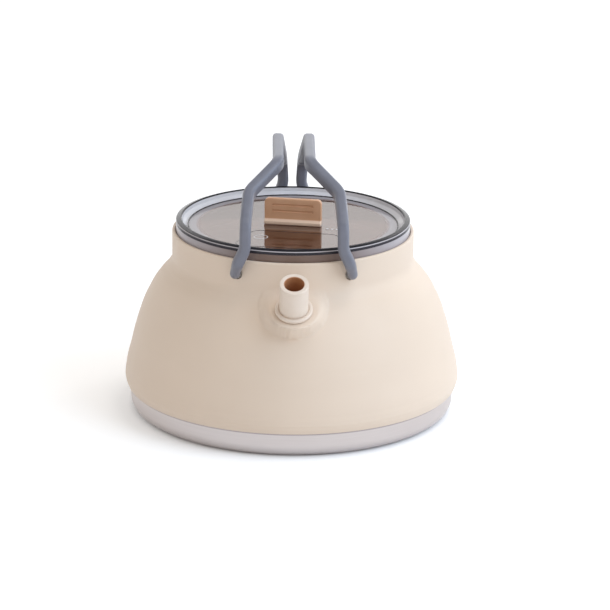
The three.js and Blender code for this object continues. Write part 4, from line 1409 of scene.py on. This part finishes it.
def panel_edge_shade():
    """A thin dark tube where the lid's panel meets its channel, laid there as painted shade."""
    height = LID_PANEL_TOP + PANEL_LINE_RADIUS * PANEL_LINE_SINK_SHARE
    loop = ring_of_points((0, 0), LID_PANEL_RADIUS + PANEL_LINE_RADIUS, height, AROUND_STEPS)
    line = tube("lid_panel_edge_shade", loop, PANEL_LINE_RADIUS, dark_line_and_shade_finish(), LINE_SIDES, closed=True)
    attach(line, "lid")


def lid_marks():
    """Plain printed marks: a ring, and a row of dots."""
    white = print_finish()
    height = panel_top(math.hypot(*MARK_CENTRE)) - MARK_LINE_RADIUS * MARK_SINK_SHARE
    ring = ring_of_points(MARK_CENTRE, MARK_RING_RADIUS, height, MARK_STEPS)
    circle = tube("lid_ring_mark", on_lid(ring), MARK_LINE_RADIUS, white, MARK_SIDES, closed=True)
    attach(circle, "lid")
    start = on_lid([(*MARK_ROW_START, panel_top(math.hypot(*MARK_ROW_START)))])[0]
    step = on_lid([(MARK_ROW_STEP, 0, 0)])[0]
    dots = grow("lid_dot_marks", path_curve("dots", [start, start + step]), DOTS, {
        "Count": MARK_ROW_COUNT, "Start": tuple(start * MM), "Step": tuple(step * MM),
        "Radius": MARK_DOT_RADIUS * MM, "Thickness": MARK_LINE_RADIUS * MM, "Material": white})
    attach(dots, "lid")


def lid_seal_ring():
    inner = MOUTH_RADIUS - 2 * GAP - 2 * SEAL_WALL
    back = inner + SEAL_WALL
    lip = MOUTH_RADIUS - GAP
    foot = NECK_RING_TOP - LID_SKIRT_DEPTH + LID_SKIRT_FOOT + GAP
    corners = [(inner, foot, SEAL_EDGE_ROUND), (back, foot, SEAL_EDGE_ROUND)]
    for i in range(SEAL_LIPS):
        base = foot + SEAL_LIP_HEIGHT * (1 + 2 * i)
        corners += [(back, base, 0), (lip, base + SEAL_LIP_HEIGHT / 2, SEAL_LIP_ROUND),
                    (back, base + SEAL_LIP_HEIGHT, 0)]
    top = LID_RIM_UNDERSIDE - GAP
    corners += [(back, top, SEAL_EDGE_ROUND), (inner, top, SEAL_EDGE_ROUND)]
    seal = turned("lid_seal_ring", rounded(corners, steps=4))
    paint(seal, plain_finish("seal_rubber", (216, 209, 203), (223, 217, 211), 0.5))
    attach(seal, "seal")
    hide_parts("lid_seal")


def tab_section(top, shrink):
    """The tab's outline across X: a flap standing on a barrel, shrunk all round."""
    front = TAB_FACE + shrink
    back = TAB_FACE + TAB_THICKNESS - shrink
    radius = TAB_BARREL_RADIUS - shrink
    edge = max(TAB_EDGE_ROUND - shrink, TAB_LEAST_ROUND)
    fold = math.acos(np.clip(back / radius, -1, 1))
    foot = LID_PANEL_TOP + TAB_SKIRT_CLEARANCE + shrink
    ledge = PIN_HEIGHT + TAB_LEDGE_RISE - shrink
    outline = rounded([
        (back, PIN_HEIGHT + radius * math.sin(fold) + TAB_BACK_FOOT, 0), (back, top - shrink, edge),
        (front, top - shrink, edge), (front, ledge, TAB_LEDGE_ROUND),
        (front - TAB_LEDGE_REACH, ledge - TAB_LEDGE_DROP, TAB_LEDGE_ROUND),
        (front - TAB_LEDGE_REACH, foot, edge), (0, foot, 0),
    ], steps=5)
    outline += arc((0, PIN_HEIGHT), PIN_HEIGHT - foot, 1.5 * math.pi, 1.75 * math.pi, TAB_SKIRT_STEPS)[1:]
    outline += arc((0, PIN_HEIGHT), radius, 1.8 * math.pi, 2 * math.pi + fold, TAB_BARREL_STEPS)
    return outline


def round_dip(radius, inset):
    """How far a round corner lies below its flat at an inset from the end."""
    return radius - math.sqrt(radius ** 2 - max(radius - inset, 0) ** 2)


def tab_stations():
    """Places along the tab's width: closest at its two ends, where its corners and edges are round."""
    insets = set()
    for radius, steps in ((TAB_EDGE_ROUND, TAB_EDGE_STEPS), (TAB_CORNER_RADIUS, TAB_CORNER_STEPS)):
        insets.update(round(radius * (1 - math.cos(a)), 5) for a in np.linspace(0, math.pi / 2, steps))
    left = [inset - TAB_WIDTH / 2 for inset in sorted(insets)]
    return left + [-x for x in reversed(left)]


def pull_tab():
    top = LID_PANEL_TOP + TAB_HEIGHT
    stations = tab_stations()
    points = []
    for x in stations:
        inset = TAB_WIDTH / 2 - abs(x)
        outline = tab_section(top - round_dip(TAB_CORNER_RADIUS, inset), round_dip(TAB_EDGE_ROUND, inset))
        points.extend((x, y, z) for y, z in outline)
    faces = skin(len(stations), len(points) // len(stations))
    tab = make_piece("pull_tab", on_lid(points), faces)
    cutters = [groove_part(top - share * TAB_HEIGHT) for share in TAB_GROOVE_SHARES]
    cutters += [slot_part(side * EAR_SPACING / 2) for side in (-1, 1)]
    cut(tab, joined("tab_cuts", [(on_lid(p), f) for p, f in cutters]))
    tidy_mesh(tab, TAB_SHARP_ANGLE)
    paint(tab, tan_finish())
    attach(tab, "pull_tab")
    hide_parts("lid_tab")


def groove_part(height):
    """A round-bottomed groove cutter with round ends, along X on the tab's front face."""
    radius = TAB_GROOVE_WIDTH / 2
    end = TAB_WIDTH / 2 - TAB_GROOVE_INSET + radius
    across, up = np.array((0, 1.0, 0)), np.array((0, 0, 1.0))
    circles = []
    for a in np.linspace(GROOVE_END_ANGLE, math.pi / 2, GROOVE_END_STEPS):
        centre = np.array((-end + radius * (1 - math.sin(a)), TAB_FACE, height))
        circles.append((centre, across, up, radius * math.sin(a)))
    circles += [(centre * (-1, 1, 1), across, up, size) for centre, _, _, size in reversed(circles)]
    return lofted(circles, GROOVE_SIDES)


def slot_part(centre):
    """A cutter for one ear's slot, open underneath and behind."""
    radius = EAR_RADIUS + GAP / 2
    far = 2 * TAB_BARREL_RADIUS
    outline = [(far, PIN_HEIGHT + radius), *arc((0, PIN_HEIGHT), radius, math.pi / 2, math.pi, SLOT_STEPS),
               (-radius, PIN_HEIGHT - far), (far, PIN_HEIGHT - far)]
    return extruded(outline, centre, EAR_WIDTH / 2 + GAP)


def hinge_pin():
    half = TAB_WIDTH / 2 - TAB_PIN_INSET
    ends = on_lid([(-half, 0, PIN_HEIGHT), (half, 0, PIN_HEIGHT)])
    pin = tube("tab_hinge_pin", ends, TAB_PIN_RADIUS, wire_finish(), WIRE_SIDES)
    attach(pin, "pull_tab")
    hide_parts("tab_pin")


# Floor, light and camera

def floor_finish():
    """A pale floor that reads as white where nothing shades it, with painted contact shade round the
    kettle's foot.
    """
    s = Shader("pale_floor")
    # Painted shade: the glow fades out near the kettle, so the floor round its foot is darker.
    open_floor = s.ramp(s.length(s.position()), GLOW_START * MM, GLOW_END * MM)
    matt = s.node("ShaderNodeBsdfDiffuse", None, {"Color": FLOOR_COLOUR})
    glow = s.node("ShaderNodeEmission", None,
                  {"Color": WHITE, "Strength": s.seen() * open_floor * FLOOR_GLOW})
    return s.end(Surface=s.node("ShaderNodeAddShader", None, {0: matt, 1: glow}))


def pale_floor():
    mesh = bpy.data.meshes.new("pale_floor")
    corners = [(x * FLOOR_HALF, y * FLOOR_HALF, 0) for x, y in ((-1, -1), (1, -1), (1, 1), (-1, 1))]
    mesh.from_pydata(corners, [], [(0, 1, 2, 3)])
    floor = new_object("pale_floor", mesh)
    paint(floor, floor_finish())


def studio_world():
    """Even pale light from all round. Seen, mirrored or looked through it is white, and dim overhead."""
    s = Shader("studio", world=True)
    seen = s.seen()
    up = s.along(s.node("ShaderNodeTexCoord", output="Generated"), "Z")
    overhead = s.ramp(up, CEILING_START, CEILING_END, 1.0, CEILING_LIGHT)
    light = s.node("ShaderNodeBackground", None,
                   {"Color": s.mix(seen, WORLD_COLOUR, WHITE),
                    "Strength": s.ramp(seen, 0.0, 1.0, WORLD_LIGHT, overhead)})
    bpy.context.scene.world = s.end("ShaderNodeOutputWorld", Surface=light)


def area_lamp(name, place, target, size, power, colour):
    data = bpy.data.lights.new(name, "AREA")
    data.shape = "DISK"
    data.size = size
    data.energy = power
    data.color = colour
    lamp = new_object(name, data)
    lamp.location = place
    lamp.rotation_mode = "QUATERNION"
    lamp.rotation_quaternion = (Vector(target) - Vector(place)).to_track_quat("-Z", "Y")


def photo_camera():
    data = bpy.data.cameras.new("photo_camera")
    data.lens = CAMERA_LENS
    data.sensor_width = SENSOR_WIDTH
    data.clip_start = CAMERA_NEAR
    data.clip_end = CAMERA_FAR
    camera = new_object("photo_camera", data)
    turn = Matrix.Rotation(CAMERA_HEADING, 4, "Z") @ Matrix.Rotation(math.pi / 2 - CAMERA_PITCH, 4, "X")
    camera.matrix_world = Matrix.Translation(CAMERA_PLACE) @ turn @ Matrix.Rotation(CAMERA_ROLL, 4, "Z")
    bpy.context.scene.camera = camera


def studio():
    bpy.context.scene.view_settings.view_transform = "Standard"
    studio_world()
    pale_floor()
    for name, lamp in LAMPS.items():
        area_lamp(name, *lamp)
    photo_camera()


TUBE = tube_tree()
DOTS = dots_tree()
steel_pan()
silicone_body()
neck_socket_ring()
spout()
bail_handles()
smoke_lid()
lid_outline()
panel_edge_shade()
lid_marks()
lid_seal_ring()
pull_tab()
hinge_pin()
studio()
